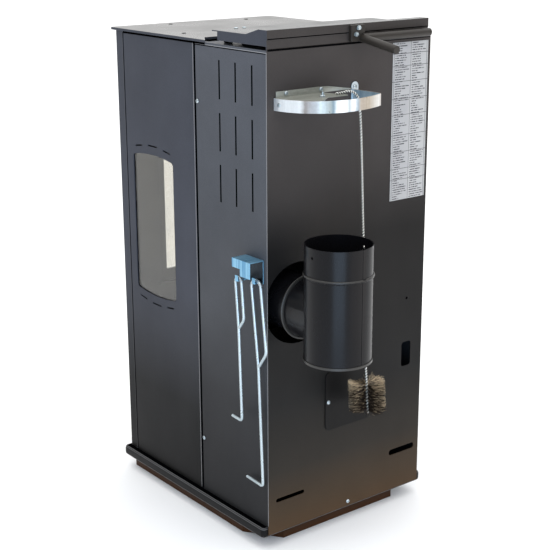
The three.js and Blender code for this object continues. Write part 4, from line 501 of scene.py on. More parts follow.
LOOKS = {
    "enamel": paint("side_enamel", SIDE_LIGHT_AND_SHADE_STOPS, 0.46),
    "front_enamel": paint("front_panel_enamel", FRONT_LIGHT_AND_SHADE_STOPS, 0.42, shine=0.1),
    "base_enamel": paint("base_enamel", BASE_STOPS, 0.45),
    "rear_enamel": paint("rear_enamel", REAR_LIGHT_AND_SHADE_STOPS, 0.5),
    "cover_enamel": paint("cover_enamel", [(0.0, 0x0B0A0A), (1.0, 0x0D0C0C)], 0.5),
    "light_enamel": paint("top_enamel", [(0.0, 0x383735), (1.0, 0x3C3A38)], 0.28, 1.2, shine=0.55),
    "lid_enamel": paint("lid_enamel", [(0.0, 0x1C1C1D), (1.0, 0x212121)], 0.28, 1.2, shine=0.55),
    "pipe_enamel": paint("pipe_enamel", [(0.0, 0x0B0B0D), (1.0, 0x0D0D10)], 0.26, 0.6),
    # A lighter enamel as a painted highlight on the pipe's bead, collar and lower lip
    "pipe_highlight": paint("highlit_pipe_enamel", [(0.0, 0x2A2824), (1.0, 0x2C2B2A)], 0.28, 0.6, shine=0.35),
    "cast_iron": iron("cast_iron", 0x1B1B1C, 0x2B2B2C),
    "black_steel": paint("black_steel", [(0.0, 0x26231F), (1.0, 0x2A2622)], 0.45, shine=0.3),
    "tool_steel": metal("tool_steel", 0xB4C0C4, 0xA2AEB3, 0.28, (20.0, 20.0, 4.0), 0.0, 0.7),
    # Painted reflection for the strap's inner faces
    "ring_inside_reflection": metal("ring_inside_reflection", 0xB4CCDA, 0x90AEC4, 0.3, (8.0, 160.0, 4.0), 0.05, 0.6),
    "bracket_zinc": metal("bracket_zinc", 0x82B2CC, 0x4E86AA, 0.3, (8.0, 160.0, 4.0), 0.05, 0.6),
    "bracket_shade": metal("bracket_shade", 0x1E2A34, 0x0C1218, 0.3, (60.0, 60.0, 12.0), 0.1, 0.8),
    "zinc": metal("zinc_plate", 0xC4CED2, 0x8F9CA2, 0.28, plating=0.8),
    "galvanised": metal("galvanised_sheet", 0xC8D2D8, 0x8797A2, 0.24, (70.0, 70.0, 1.5), 0.1, 0.7),
    "strap": strap_with_painted_reflections("strap_with_painted_reflections", STRAP_REFLECTION_TONES, 0.3, 0.55),
    "dull_zinc": metal("dull_zinc_plate", 0x9A9C94, 0x80827A, 0.4, (12.0, 90.0, 90.0), 0.1, 0.3),
    "brass": metal("lit_bristle", 0xC6B292, 0x928068, 0.45, (420.0, 420.0, 420.0), 0.05, 0.3),
    "shaded_brass": metal("shaded_bristle", 0x3A2E24, 0x1E1712, 0.5, (420.0, 420.0, 420.0), 0.05, 0.3),
    "wire": metal("twisted_wire", 0xF2F1EA, 0xD8D6CE, 0.35, (500.0, 500.0, 500.0), 0.05, 0.35),
    "wire_shade": metal("wire_shade", 0x2A2C2E, 0x1C1E20, 0.5, (500.0, 500.0, 500.0), 0.05, 0.4),
    "glass": pane("clear_glass", 0xD8D8D4, 0.0),
    "lining": board("fire_board"),
    "rope": braid("glass_rope", 0x77766F, 0x2C2B29),
    "paper": label_sheet("label_sheet"),
    # Lighter enamels for the rounded edges, painted highlight and wear; the third and lightest is painted
    # highlight for the thin lines on the casing
    "edge": paint("worn_and_highlit_edge_enamel", SIDE_LIGHT_AND_SHADE_STOPS, 0.34, 0.6, 0.2, shine=0.4),
    "rear_edge": paint("worn_and_highlit_rear_edge_enamel", REAR_LIGHT_AND_SHADE_STOPS, 0.34, 0.6, 0.2, shine=0.4),
    "edge_highlight": paint("painted_highlight_edge_enamel", SIDE_LIGHT_AND_SHADE_STOPS, 0.34, 0.6, 0.5, shine=0.5),
    "dark": paint("shadowed_recess", [(0.0, 0x040405), (1.0, 0x050506)], 0.8, shine=0.0),
}


# Pieces


def place_piece(name, mesh, body, slot, replaced=(), look=None, edge=None):
    piece = linked(name, mesh)
    mesh.materials.clear()
    mesh.materials.append(LOOKS[look or slot])
    if edge:
        mesh.materials.append(LOOKS[edge])
    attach(piece, body)
    if replaced:
        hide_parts(*replaced)
    return piece


def baked(piece):
    """Turns a piece's modifiers into plain mesh."""
    bpy.context.view_layer.update()
    shape = bpy.data.meshes.new_from_object(piece.evaluated_get(bpy.context.evaluated_depsgraph_get()))
    piece.modifiers.clear()
    piece.data = shape
    return piece


def cleaned(node):
    """A node's mesh without the doubled points and the flat triangles' inner edges."""
    mesh = NODES[node].data.copy()
    shape = bmesh.new()
    shape.from_mesh(mesh)
    bmesh.ops.remove_doubles(shape, verts=shape.verts, dist=1e-5)
    bmesh.ops.dissolve_limit(shape, angle_limit=math.radians(0.4), verts=shape.verts, edges=shape.edges)
    for face in shape.faces:
        face.smooth = True
    shape.to_mesh(mesh)
    shape.free()
    for name in ("custom_normal", "sharp_face", "sharp_edge"):
        if name in mesh.attributes:
            mesh.attributes.remove(mesh.attributes[name])
    return mesh


def skin(node, width, look=None, edge=None, angle=28, segments=2):
    """Stands in for a CAD node with the same shape and, where a width is given, softly rounded edges."""
    piece = place_piece(node + "_skin", cleaned(node), BODY_OF[node], SLOT_OF[node], (node,), look, edge)
    if width:
        bevel = piece.modifiers.new("edges", "BEVEL")
        bevel.width = width * MM
        bevel.segments = segments
        bevel.limit_method = "ANGLE"
        bevel.angle_limit = math.radians(angle)
        bevel.harden_normals = False
        # The rounded edges take the edge look: lighter enamel for painted highlight and wear
        if edge:
            bevel.material = 1
        even = piece.modifiers.new("flat faces", "WEIGHTED_NORMAL")
        even.weight = 100
        even.keep_sharp = True
    else:
        piece.data.set_sharp_from_angle(angle=math.radians(angle))
    return baked(piece)


def rounded(piece, width, segments):
    """Bevels the edges of a flat plate."""
    bevel = piece.modifiers.new("edges", "BEVEL")
    bevel.width = width * MM
    bevel.segments = segments
    bevel.harden_normals = True
    return baked(piece)


def shaded(piece, look, chosen):
    """Gives the chosen faces of a piece another look."""
    piece.data.materials.append(LOOKS[look])
    last = len(piece.data.materials) - 1
    for face in piece.data.polygons:
        if chosen(face):
            face.material_index = last


def smoothed(mesh, sharp):
    """Smooth shading, broken at edges that turn by more than an angle in degrees."""
    mesh.polygons.foreach_set("use_smooth", [True] * len(mesh.polygons))
    mesh.set_sharp_from_angle(angle=math.radians(sharp))
    return mesh


def mesh_of(name, points, faces, sharp=None):
    """A mesh with its faces turned outwards: flat, or smooth up to an angle in degrees."""
    mesh = bpy.data.meshes.new(name)
    mesh.from_pydata([tuple(p) for p in points], [], faces)
    shape = bmesh.new()
    shape.from_mesh(mesh)
    bmesh.ops.recalc_face_normals(shape, faces=shape.faces)
    shape.to_mesh(mesh)
    shape.free()
    mesh.polygons.foreach_set("use_smooth", [False] * len(mesh.polygons))
    return smoothed(mesh, sharp) if sharp else mesh


def turned(name, profile, matrix, sides, sharp=32):
    """A round mesh from (radius, height) pairs in millimetres about the matrix's Z axis."""
    points, faces, rows = [], [], []
    for radius, height in profile:
        if radius < 1e-6:
            rows.append([len(points)] * sides)
            points.append(matrix @ mm(0, 0, height))
            continue
        rows.append(list(range(len(points), len(points) + sides)))
        for step in range(sides):
            turn = 2 * math.pi * step / sides
            points.append(matrix @ mm(radius * math.cos(turn), radius * math.sin(turn), height))
    for low, high in zip(rows, rows[1:]):
        for step in range(sides):
            after = (step + 1) % sides
            corners = [low[step], low[after], high[after], high[step]]
            corners = [c for i, c in enumerate(corners) if c != corners[i - 1]]
            if len(corners) > 2:
                faces.append(corners)
    return mesh_of(name, points, faces, sharp=sharp)


def carried(path):
    """Each point of a path with two directions across it, carried along without twist."""
    side = None
    for index, here in enumerate(path):
        ahead = (path[min(index + 1, len(path) - 1)] - path[max(index - 1, 0)]).normalized()
        if side is None:
            side = ahead.orthogonal().normalized()
        side = (side - ahead * side.dot(ahead)).normalized()
        yield here, side, ahead.cross(side)


def tube(name, path, radius, sides):
    """A closed tube along a path of points in metres, of one radius or of a radius for each point."""
    points, faces = [], []
    for index, (here, side, up) in enumerate(carried(path)):
        size = radius(index) if callable(radius) else radius
        for step in range(sides):
            turn = 2 * math.pi * step / sides
            points.append(here + size * (math.cos(turn) * side + math.sin(turn) * up))
    for start in range(0, len(points) - sides, sides):
        for step in range(sides):
            after = (step + 1) % sides
            faces.append([start + step, start + after, start + sides + after, start + sides + step])
    faces.append(list(range(sides)))
    faces.append(list(range(len(points) - sides, len(points))))
    return mesh_of(name, points, faces, sharp=60)


def joined(name, meshes):
    """One mesh from several."""
    shape = bmesh.new()
    for mesh in meshes:
        shape.from_mesh(mesh)
    result = bpy.data.meshes.new(name)
    shape.to_mesh(result)
    shape.free()
    return result


def boolean(name, solid, tools, operation):
    """The exact union or difference of meshes as one mesh."""
    base = linked(name, solid)
    for tool_mesh in tools:
        tool = linked(name + "_tool", tool_mesh)
        modifier = base.modifiers.new("cut", "BOOLEAN")
        modifier.operation = operation
        modifier.solver = "EXACT"
        modifier.object = tool
        baked(base)
        bpy.data.objects.remove(tool)
    result = base.data
    bpy.data.objects.remove(base)
    return result


def slab_mesh(name, outline, depth, matrix):
    """A flat outline in millimetres, made thick along the matrix's Z axis."""
    count = len(outline)
    points = [matrix @ mm(x, y, z) for z in (0, depth) for x, y in outline]
    faces = [list(range(count)), list(range(count, 2 * count))]
    faces += [[i, (i + 1) % count, count + (i + 1) % count, count + i] for i in range(count)]
    return mesh_of(name, points, faces)


# Thin lines on the casing and the lid: dark bars of painted shade in gaps, slots and folds, and light bars
# of painted highlight along edges


# On each side sheet: name, reach along Y, reach along Z, look. The dark bars, louvres included, are painted
# shade in gaps and slots; the light ones are painted highlights along edges.
SIDE_LINES = [
    ("seam_gap", (SEAM_Y - 2.6, SEAM_Y + 3.2), (SHEET_LOW, SHEET_HIGH + 2), "dark"),
    ("seam_edge", (SEAM_Y - 6.0, SEAM_Y - 4.6), (SHEET_LOW, SHEET_HIGH), "edge_highlight"),
    ("post_gap", (-231.4, -229.6), (SHEET_LOW, SHEET_HIGH), "dark"),
    ("corner_edge", (REAR_Y - 1.7, REAR_Y - 0.1), (SHEET_LOW, SHEET_HIGH), "edge_highlight"),
    ("plate_gap", (-229, SEAM_Y + 36), (SHEET_HIGH - 1.8, SHEET_HIGH + 3), "dark"),
    ("rail_gap", (SEAM_Y + 1.5, REAR_Y - 2), (SHEET_HIGH - 4.2, SHEET_HIGH - 2.4), "dark"),
]
SIDE_LINES += [
    (f"louvre_{index + 1}", (y - LOUVRE_HALF, y + LOUVRE_HALF),
     (z - LOUVRE_LENGTH + LOUVRE_END, z - LOUVRE_END), "dark")
    for index, (y, z) in enumerate(LOUVRE_PLACES)]
SIDE_LINES += [
    ("rail_edge", (SEAM_Y + 1.5, REAR_Y - 2), (SHEET_HIGH - 2.1, SHEET_HIGH - 0.7), "edge_highlight")]

# On the rear: name, body, reach along X, place along Y, reach along Z; each a dark bar of painted shade
REAR_LINES = [
    ("lid_fold_line", "lid", (-196, 205), LID_REAR_Y, (1014.0, 1015.8)),
    ("lid_hem_line", "lid", (-196, 205), LID_REAR_Y, (995.7, 997.0)),
    ("rear_rail_gap", "stove", (-204, 204), REAR_Y, (993.2, 995.0)),
]


def box_piece(name, low, high, look, body="stove"):
    """A plain bar between two corners in millimetres."""
    size = Vector(high) - Vector(low)
    outline = [(0, 0), (size.x, 0), (size.x, size.y), (0, size.y)]
    mesh = slab_mesh(name, outline, size.z, Matrix.Translation(mm(*low)))
    return place_piece(name, mesh, body, "enamel", look=look)


def seams():
    """Dark bars of painted shade in the gaps between the side sheets and in their slots, and light bars of
    painted highlight along their edges.
    """
    for side, hand in ((1, "right"), (-1, "left")):
        inner, outer = sorted((side * SIDE_X, side * (SIDE_X + LINE_RISE)))
        for part, y, z, look in SIDE_LINES:
            box_piece(f"{hand}_{part}", (inner, y[0], z[0]), (outer, y[1], z[1]), look)


def rear_lines():
    """Painted shade: dark bars in the fold across the lid's rear face, the gap under its hem and the gap
    over the rear panel.
    """
    for name, body, x, y, z in REAR_LINES:
        box_piece(name, (x[0], y, z[0]), (x[1], y + LINE_RISE, z[1]), "dark", body)


# Sheet-metal and cast parts that keep their CAD shape


def panels():
    rear = skin("rear_panel", 0.7, edge="rear_edge")
    shaded(rear, "rear_enamel", lambda face: face.normal.z < -0.2)
    lid = skin("hopper_lid", 0.7, look="lid_enamel", edge="rear_edge")
    # Painted light: the lid's sides take the front enamel and its rear the rear enamel, as lit and shaded
    # copies of its paint
    shaded(lid, "front_enamel", lambda face: abs(face.normal.x) > 0.7)
    shaded(lid, "rear_enamel", lambda face: face.normal.y > 0.7)
    skin("inspection_cover", 0.5, look="cover_enamel")
    skin("base_plinth", 0.8, look="base_enamel")
    tray = skin("base_tray", 0.9, look="base_enamel", edge="edge", segments=3)
    # The tray's top ledge is painted near black: painted shade under the panels
    shaded(tray, "dark", lambda face: face.normal.z > 0.95)
    plate = skin("top_plate", 0.5)
    # The plate's upright rim takes the darker front enamel: painted shade
    shaded(plate, "front_enamel", lambda face: face.normal.z < 0.6)
    for side in ("right", "left"):
        skin(side + "_rear_panel", 0.7, edge="edge")
        for part in ("_front_panel", "_front_post"):
            skin(side + part, 0.8, look="front_enamel", edge="edge")
        skin(side + "_window_glass", 0.5)
    for level in ("upper", "lower"):
        skin(level + "_front_panel", 0.7, look="front_enamel", edge="edge")
    skin("door_frame", 1.0, segments=3)
    skin("door_glass", 0.5)
    skin("door_handle", 0.8, segments=3)
    skin("ash_drawer", 0.6)
    skin("air_slider", 0.6)
    bracket = skin("tool_bracket", 0.5, look="bracket_zinc")
    shaded(bracket, "bracket_shade", lambda face: face.normal.x > 0.7 and face.center.x < 215 * MM)
    skin("ring_plate", 0.4, look="dull_zinc")
    hopper_rim = skin("hopper_frame", 0.3)
    # Painted shade on the frame's sides and edges, and painted light from the front enamel on its top
    shaded(hopper_rim, "dark", lambda face: face.normal.z < 0.5)
    shaded(hopper_rim, "front_enamel", lambda face: face.normal.z >= 0.5)
    for node, width in (
        ("hopper", 0.5), ("firebox", 0.6), ("grate", 0.9), ("burner_basket", 0.7), ("baffle", 1.5),
        ("rear_lining", 1.5), ("glass_retainer", 0.3), ("door_gasket", 1.5), ("lid_seal", 1.5),
    ):
        skin(node, width)
    for node in ("long_poker", "short_poker"):
        skin(node, 0, look="tool_steel", angle=50)
    for node in ("flue_spigot", "lid_hinge_rod", "door_pin"):
        skin(node, 0, angle=50)
    for node in ("pellet_chute", "firebox_stand", "smoke_duct", "rating_label"):
        skin(node, 0, angle=25)


# Flue tee


def tee_radius(height):
    """The outer radius along the tee's body, with its rolled bead."""
    gap = (height - TEE_BEAD_Z) / TEE_BEAD_HALF
    return TEE_RADIUS + TEE_BEAD_RISE * max(0.0, 1 - gap * gap) ** 0.5


def tee_profile(wall):
    """Pairs of radius and height up the tee's body, a wall's thickness inside its outer face."""
    bead = [TEE_BEAD_Z + TEE_BEAD_HALF * math.cos(math.pi * (1 - k / 10)) for k in range(11)]
    heights = [TEE_LOW, TEE_LOW + TEE_LIP] + bead + [TEE_HIGH - TEE_LIP, TEE_HIGH]
    return [(tee_radius(h) - wall, h) for h in heights]


def branch_profile(reach):
    """The solid branch with its collar's rounded bead."""
    half = COLLAR_LENGTH / 2
    bead = [
        (BRANCH_RADIUS + COLLAR_RISE * math.sin(math.pi * k / 10),
         COLLAR_START + half - half * math.cos(math.pi * k / 10))
        for k in range(1, 10)]
    start = [(0, 0), (BRANCH_RADIUS, 0), (BRANCH_RADIUS, COLLAR_START)]
    return start + bead + [(BRANCH_RADIUS, COLLAR_START + COLLAR_LENGTH), (BRANCH_RADIUS, reach), (0, reach)]


def highlit_pipe(face):
    """Whether a face lies on the upper side of the pipe's bead or on the branch's collar ring, where the
    lighter enamel paints a highlight.
    """
    y, z = face.center.y / MM, face.center.z / MM
    on_bead = abs(z - TEE_BEAD_Z - 1) < 2.2 and face.normal.z > -0.1
    on_collar = COLLAR_Y[0] < y < COLLAR_Y[1] and abs(z - BRANCH_Z) < BRANCH_RADIUS + 7
    return on_bead or on_collar


def tee_body():
    """The hollow tee with the holes through its upper end."""
    upright = Matrix.Translation(mm(TEE_X, TEE_Y, 0))
    along = looking((TEE_X, BRANCH_START, BRANCH_Z), (0, 1, 0))
    reach = TEE_Y - BRANCH_START
    solid = [(0, TEE_LOW)] + tee_profile(0) + [(0, TEE_HIGH)]
    body = turned("tee_solid", solid, upright, PIPE_SIDES)
    branch = turned("tee_branch", branch_profile(reach), along, PIPE_SIDES)
    inside = TEE_RADIUS - TEE_WALL
    below, above = TEE_LOW - TOOL_REACH, TEE_HIGH + TOOL_REACH
    bore = [(0, below), (inside, below)] + tee_profile(TEE_WALL)[1:-1] + [(inside, above), (0, above)]
    hollow = turned("tee_bore", bore, upright, PIPE_SIDES)
    inner, inner_end = BRANCH_RADIUS - BRANCH_WALL, reach - 2
    throat = [(0, -TOOL_REACH), (inner, -TOOL_REACH), (inner, inner_end), (0, inner_end)]
    throat = turned("tee_throat", throat, along, PIPE_SIDES)
    drill = [(0, -70), (TEE_HOLE_RADIUS, -70), (TEE_HOLE_RADIUS, 70), (0, 70)]
    holes = turned("tee_holes", drill, looking((TEE_X, TEE_Y, TEE_HOLE_Z), (1, 0, 0)), 24)
    shape = boolean("tee", body, [branch], "UNION")
    shape = boolean("tee", shape, [hollow, throat, holes], "DIFFERENCE")
    tee = place_piece("flue_tee_body", smoothed(shape, 30), "stove", "pipe_enamel", ("flue_tee",))
    # Painted highlight on the bead and the collar ring
    shaded(tee, "pipe_highlight", highlit_pipe)


def tee_weld():
    """The uneven weld where the branch meets the body."""
    weld = []
    for step in range(WELD_STEPS):
        turn = 2 * math.pi * step / WELD_STEPS
        out = (BRANCH_RADIUS + WELD_LIFT) * math.cos(turn)
        reach_in = -math.sqrt((TEE_RADIUS + WELD_LIFT) ** 2 - out ** 2)
        up = (BRANCH_RADIUS + WELD_LIFT) * math.sin(turn)
        weld.append(mm(TEE_X + out, TEE_Y + reach_in, BRANCH_Z + up))
    weld.append(weld[0])
    bead = tube("tee_weld", weld, lambda i: (1.05 + 0.45 * math.sin(i * 1.05)) * MM, 10)
    place_piece("flue_tee_weld", bead, "stove", "pipe_enamel", ("flue_tee",))


def tee_seam():
    """The long seam up the pipe, which follows its bead."""
    rows = [h for _, h in tee_profile(0)]
    rows = sorted(set(rows + [TEE_LOW + 3 * k for k in range(70) if TEE_LOW + 3 * k < TEE_HIGH - 1]))
    points, faces = [], []
    for height in rows:
        for lift, turn in PIPE_SEAM_EDGES:
            radius = min(tee_radius(height) + lift, TEE_RADIUS + PIPE_SEAM_CREST)
            angle = PIPE_SEAM_TURN + turn
            points.append(mm(TEE_X + radius * math.cos(angle), TEE_Y + radius * math.sin(angle), height))
    for row in range(len(rows) - 1):
        for k in range(4):
            a, b = row * 4 + k, row * 4 + (k + 1) % 4
            faces.append([a, b, b + 4, a + 4])
    faces += [[0, 1, 2, 3], [len(points) - 4 + k for k in range(4)]]
    seam = mesh_of("tee_seam", points, faces, sharp=30)
    place_piece("flue_tee_seam", seam, "stove", "pipe_enamel", ("flue_tee",))


def flue_tee():
    tee_body()
    tee_weld()
    tee_seam()
    cap = skin("tee_cap", 0.3, angle=40)
    # The cap's lower lip takes the painted highlight
    shaded(cap, "pipe_highlight", lambda face: face.center.z < (TEE_LOW + 0.5) * MM and face.normal.z > -0.5)


# Half ring


def strap_path():
    """The strap's outer face from above: a tight bend, a flatter front, a folded corner and a straight."""
    sweep = math.asin((RING_X - RING_END_X) / RING_FRONT_RADIUS)
    corner_x = RING_X - RING_FRONT_RADIUS * math.sin(sweep)
    corner_y = REAR_Y + RING_RADIUS - RING_FRONT_RADIUS * (1 - math.cos(sweep))
    start_y, bend = REAR_Y + RING_GAP, RING_RADIUS - RING_GAP
    points = []
    for step in range(37):
        turn = math.pi / 2 * step / 36
        points.append((RING_X + RING_RADIUS * math.cos(turn), start_y + bend * math.sin(turn)))
    reach = sweep * (1 - RING_CORNER / RING_RADIUS)
    for step in range(1, 25):
        turn = math.pi / 2 + reach * step / 24
        points.append((
            RING_X + RING_FRONT_RADIUS * math.cos(turn),
            REAR_Y + RING_RADIUS - RING_FRONT_RADIUS + RING_FRONT_RADIUS * math.sin(turn)))
    last = points[-1]
    for step in range(1, 9):
        s = step / 8
        points.append(tuple(
            (1 - s) ** 2 * last[k] + 2 * s * (1 - s) * (corner_x, corner_y)[k]
            + s * s * (corner_x, corner_y - RING_CORNER)[k] for k in (0, 1)))
    points.append((corner_x * 0.15, REAR_Y + 12))
    points.append((0, REAR_Y + RING_GAP))
    return points


def strap_mesh():
    """The strap between its outer and inner faces, with chamfered upper and lower edges."""
    outer = strap_path()
    inner = []
    for index, (x, y) in enumerate(outer):
        ax, ay = outer[max(index - 1, 0)]
        bx, by = outer[min(index + 1, len(outer) - 1)]
        size = math.hypot(bx - ax, by - ay)
        inner.append((x - (by - ay) / size * RING_SHEET, y + (bx - ax) / size * RING_SHEET))
    inner[0] = (inner[0][0], outer[0][1])
    inner[-1] = (inner[-1][0], outer[-1][1])
    low = RING_TOP - RING_HEIGHT
    layers = [(low, RING_CHAMFER), (low + RING_CHAMFER, 0.0), (RING_TOP - RING_CHAMFER, 0.0)]
    layers.append((RING_TOP, RING_CHAMFER))
    points, faces = [], []
    count = len(outer)
    for height, inset in layers:
        share = inset / RING_SHEET
        for face, other in ((outer, inner), (inner, outer)):
            for (x, y), (u, v) in zip(face, other):
                points.append(mm(x + (u - x) * share, y + (v - y) * share, height))
    for layer in range(3):
        a, b = layer * 2 * count, (layer + 1) * 2 * count
        for i in range(count - 1):
            faces += [[a + k, a + k + 1, b + k + 1, b + k] for k in (i, count + i)]
        faces += [[a + k, a + count + k, b + count + k, b + k] for k in (0, count - 1)]
    for i in range(count - 1):
        faces += [[k, k + 1, count + k + 1, count + k] for k in (i, 3 * 2 * count + i)]
    return mesh_of("ring_strap", points, faces, sharp=40)


def half_ring():
    strap = place_piece("ring_strap", strap_mesh(), "stove", "galvanised", ("ring_band",), look="strap")
    centre = mm(RING_X, REAR_Y, 0)

    def faces_in(face):
        return face.normal.dot(face.center - centre) < -0.02 and abs(face.normal.z) < 0.5

    # The strap's inner faces take a lighter blue look: painted reflection
    shaded(strap, "ring_inside_reflection", faces_in)
    fin = slab_mesh("fin", FIN_OUTLINE, FIN_THICKNESS, looking((0, REAR_Y + 0.4, 0), (0, 1, 0)))
    place_piece("ring_plate_fin", fin, "stove", "zinc", look="dull_zinc")

    tab = [(-TAB_RADIUS, TAB_LOW), (TAB_RADIUS, TAB_LOW)]
    for k in range(25):
        turn = math.pi * k / 24
        tab.append((TAB_RADIUS * math.cos(turn), TAB_RADIUS * math.sin(turn)))
    x, z = TAB_PLACE
    plate = slab_mesh("ring_tab", tab, RING_SHEET, looking((x, REAR_Y + RING_GAP, z), (0, 1, 0)))
    rounded(place_piece("ring_tab", plate, "stove", "galvanised", ("ring_band",)), 0.4, 2)


# Screws and bolts


def cross_screw():
    """A dome head with a cross recess, standing on z = 0 with a short shank below."""
    dome = [(0, -SHANK_LENGTH), (SHANK_RADIUS, -SHANK_LENGTH), (SHANK_RADIUS, 0)]
    dome += [(SCREW_RADIUS, 0), (SCREW_RADIUS, SCREW_RIM)]
    for k in range(1, 8):
        turn = math.pi / 2 * k / 8
        dome.append((SCREW_RADIUS * math.cos(turn), SCREW_RIM + (SCREW_HEAD - SCREW_RIM) * math.sin(turn)))
    dome += [(0, SCREW_HEAD)]
    head = turned("screw", dome, Matrix.Identity(4), 40, sharp=50)
    length, half = RECESS
    shape = [(-length, -half), (length, -half), (length, half), (-length, half)]
    bars = []
    for turn in (0, math.pi / 2):
        matrix = Matrix.Rotation(turn, 4, "Z") @ Matrix.Translation(mm(0, 0, RECESS_FLOOR))
        bars.append(slab_mesh("recess", shape, 4, matrix))
    return smoothed(boolean("screw", head, bars, "DIFFERENCE"), 40)


def screws():
    master = cross_screw()
    chance = random.Random(SEED)

    def put(name, matrix, body, replaced=()):
        mesh = master.copy()
        mesh.transform(matrix)
        place_piece(name, mesh, body, "zinc", replaced)

    for node, (dx, dy) in SCREW_FACINGS.items():
        low, high = (Vector(corner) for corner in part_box(node))
        middle = (low + high) / 2 / MM
        face = high if dx + dy > 0 else low
        if dx:
            middle.x = face.x / MM - dx * SCREW_HEAD
        else:
            middle.y = face.y / MM - dy * SCREW_HEAD
        spin = Matrix.Rotation(chance.uniform(0, math.pi / 2), 4, "Z")
        put(node + "_head", looking(middle, (dx, dy, 0)) @ spin, BODY_OF[node], (node,))
    for index, (x, y) in enumerate(LID_SCREW_PLACES):
        spin = Matrix.Rotation(0.4 + index, 4, "Z")
        put(f"lid_screw_{index + 1}", looking((x, y, LID_SCREW_Z), (0, 0, 1)) @ spin, "lid")
    ring_end = looking((RING_X + 98.4, REAR_Y + 14, RING_TOP - 11), (1, 0.12, 0))
    put("ring_end_screw", ring_end @ Matrix.Scale(0.9, 4), "stove")


def hex_profile(radius, thickness):
    """A hexagon head with its upper corners taken off."""
    chamfer = thickness * 0.2
    return [(0, 0), (radius, 0), (radius, thickness - chamfer), (radius * 0.86, thickness), (0, thickness)]


def bolts():
    for level in ("upper", "lower"):
        node = "lid_handle_bolt_" + level
        low, high = (Vector(corner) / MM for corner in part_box(node))
        middle = (low + high) / 2
        place = looking((middle.x, low.y, middle.z), (0, 1, 0))
        head = turned(node, hex_profile(4.4, 3.6), place @ Matrix.Translation(mm(0, 0, 0.4)), 6, sharp=20)
        washer = turned(node, [(0, 0), (4.5, 0), (4.5, 0.5), (0, 0.5)], place, 40)
        place_piece(node + "_hex", joined(node, [head, washer]), "lid", "zinc", (node,))


def handle_bar(name, start, end):
    """A round bar with a softened end."""
    direction = Vector(end) - Vector(start)
    length = direction.length
    profile = [(0, 0), (BAR_RADIUS, 0), (BAR_RADIUS, length - 1.6), (7.75, length - 0.8)]
    profile += [(7.2, length - 0.2), (6.4, length), (0, length)]
    mesh = turned(name, profile, looking(start, direction), 56)
    place_piece(name, mesh, "lid", "black_steel", ("lid_handle",))


def lid_handle():
    bracket = []
    for x, z, from_turn in BRACKET_CORNERS:
        for k in range(5):
            turn = math.radians(from_turn + k * 22.5)
            bracket.append((
                -(x + BRACKET_CORNER_RADIUS * math.cos(turn)), z + BRACKET_CORNER_RADIUS * math.sin(turn)))
    plate = slab_mesh("bracket", bracket, BRACKET_THICKNESS, looking((0, REAR_Y + 1.5, 0), (0, 1, 0)))
    rounded(place_piece("lid_handle_bracket", plate, "lid", "black_steel", ("lid_handle",)), 0.9, 3)
    handle_bar("lid_handle_long_bar", (-13.5, 269.3, HANDLE_Z), (-190, 269.3, HANDLE_Z))
    handle_bar("lid_handle_short_bar", (-16, 262.5, HANDLE_Z), (-16, 360.5, HANDLE_Z - 15.4))


# Flue brush


def smooth_path(points, step):
    """A centripetal curve through points, in equal short steps."""
    found = []
    ends = [2 * points[0] - points[1]] + points + [2 * points[-1] - points[-2]]
    for p0, p1, p2, p3 in zip(ends, ends[1:], ends[2:], ends[3:]):
        t0 = 0.0
        t1 = t0 + (p1 - p0).length ** 0.5
        t2 = t1 + (p2 - p1).length ** 0.5
        t3 = t2 + (p3 - p2).length ** 0.5
        count = max(3, int((p2 - p1).length / step))
        for k in range(count):
            t = t1 + (t2 - t1) * k / count
            a1 = p0 * (t1 - t) / (t1 - t0) + p1 * (t - t0) / (t1 - t0)
            a2 = p1 * (t2 - t) / (t2 - t1) + p2 * (t - t1) / (t2 - t1)
            a3 = p2 * (t3 - t) / (t3 - t2) + p3 * (t - t2) / (t3 - t2)
            b1 = a1 * (t2 - t) / (t2 - t0) + a2 * (t - t0) / (t2 - t0)
            b2 = a2 * (t3 - t) / (t3 - t1) + a3 * (t - t1) / (t3 - t1)
            found.append(b1 * (t2 - t) / (t2 - t1) + b2 * (t - t1) / (t2 - t1))
    found.append(points[-1])
    return found


def twisted(path, offset, pitch, strands):
    """Paths of several wires wound round one another along a path."""
    wound = [[] for _ in range(strands)]
    travelled = 0.0
    for index, (here, side, up) in enumerate(carried(path)):
        if index:
            travelled += (here - path[index - 1]).length
        for strand in range(strands):
            turn = 2 * math.pi * (travelled / pitch + strand / strands)
            wound[strand].append(here + offset * (math.cos(turn) * side + math.sin(turn) * up))
    return wound


def twisted_wire(name, mesh_name, path, twist, radii, node):
    """A bright strand and a dark one wound round each other; the dark one is painted shade."""
    offset, pitch = twist
    wires = twisted(path, offset * MM, pitch * MM, 2)
    for wire, look, radius in zip(wires, ("wire", "wire_shade"), radii):
        place_piece(name + look, tube(mesh_name, wire, radius * MM, 8), "brush", "zinc", (node,), look=look)


def strand_piece(points, faces, lower, upper, axis, out):
    """Adds a thin three-sided bar between two points of a bristle."""
    start = len(points)
    for knot in (lower, upper):
        for corner in range(3):
            a = 2 * math.pi * corner / 3
            points.append(knot + STRAND_RADIUS * MM * (math.cos(a) * axis + math.sin(a) * axis.cross(out)))
    for corner in range(3):
        after = (corner + 1) % 3
        faces.append([start + corner, start + after, start + 3 + after, start + 3 + corner])
    faces.append([start, start + 1, start + 2])
    faces.append([start + 3, start + 4, start + 5])


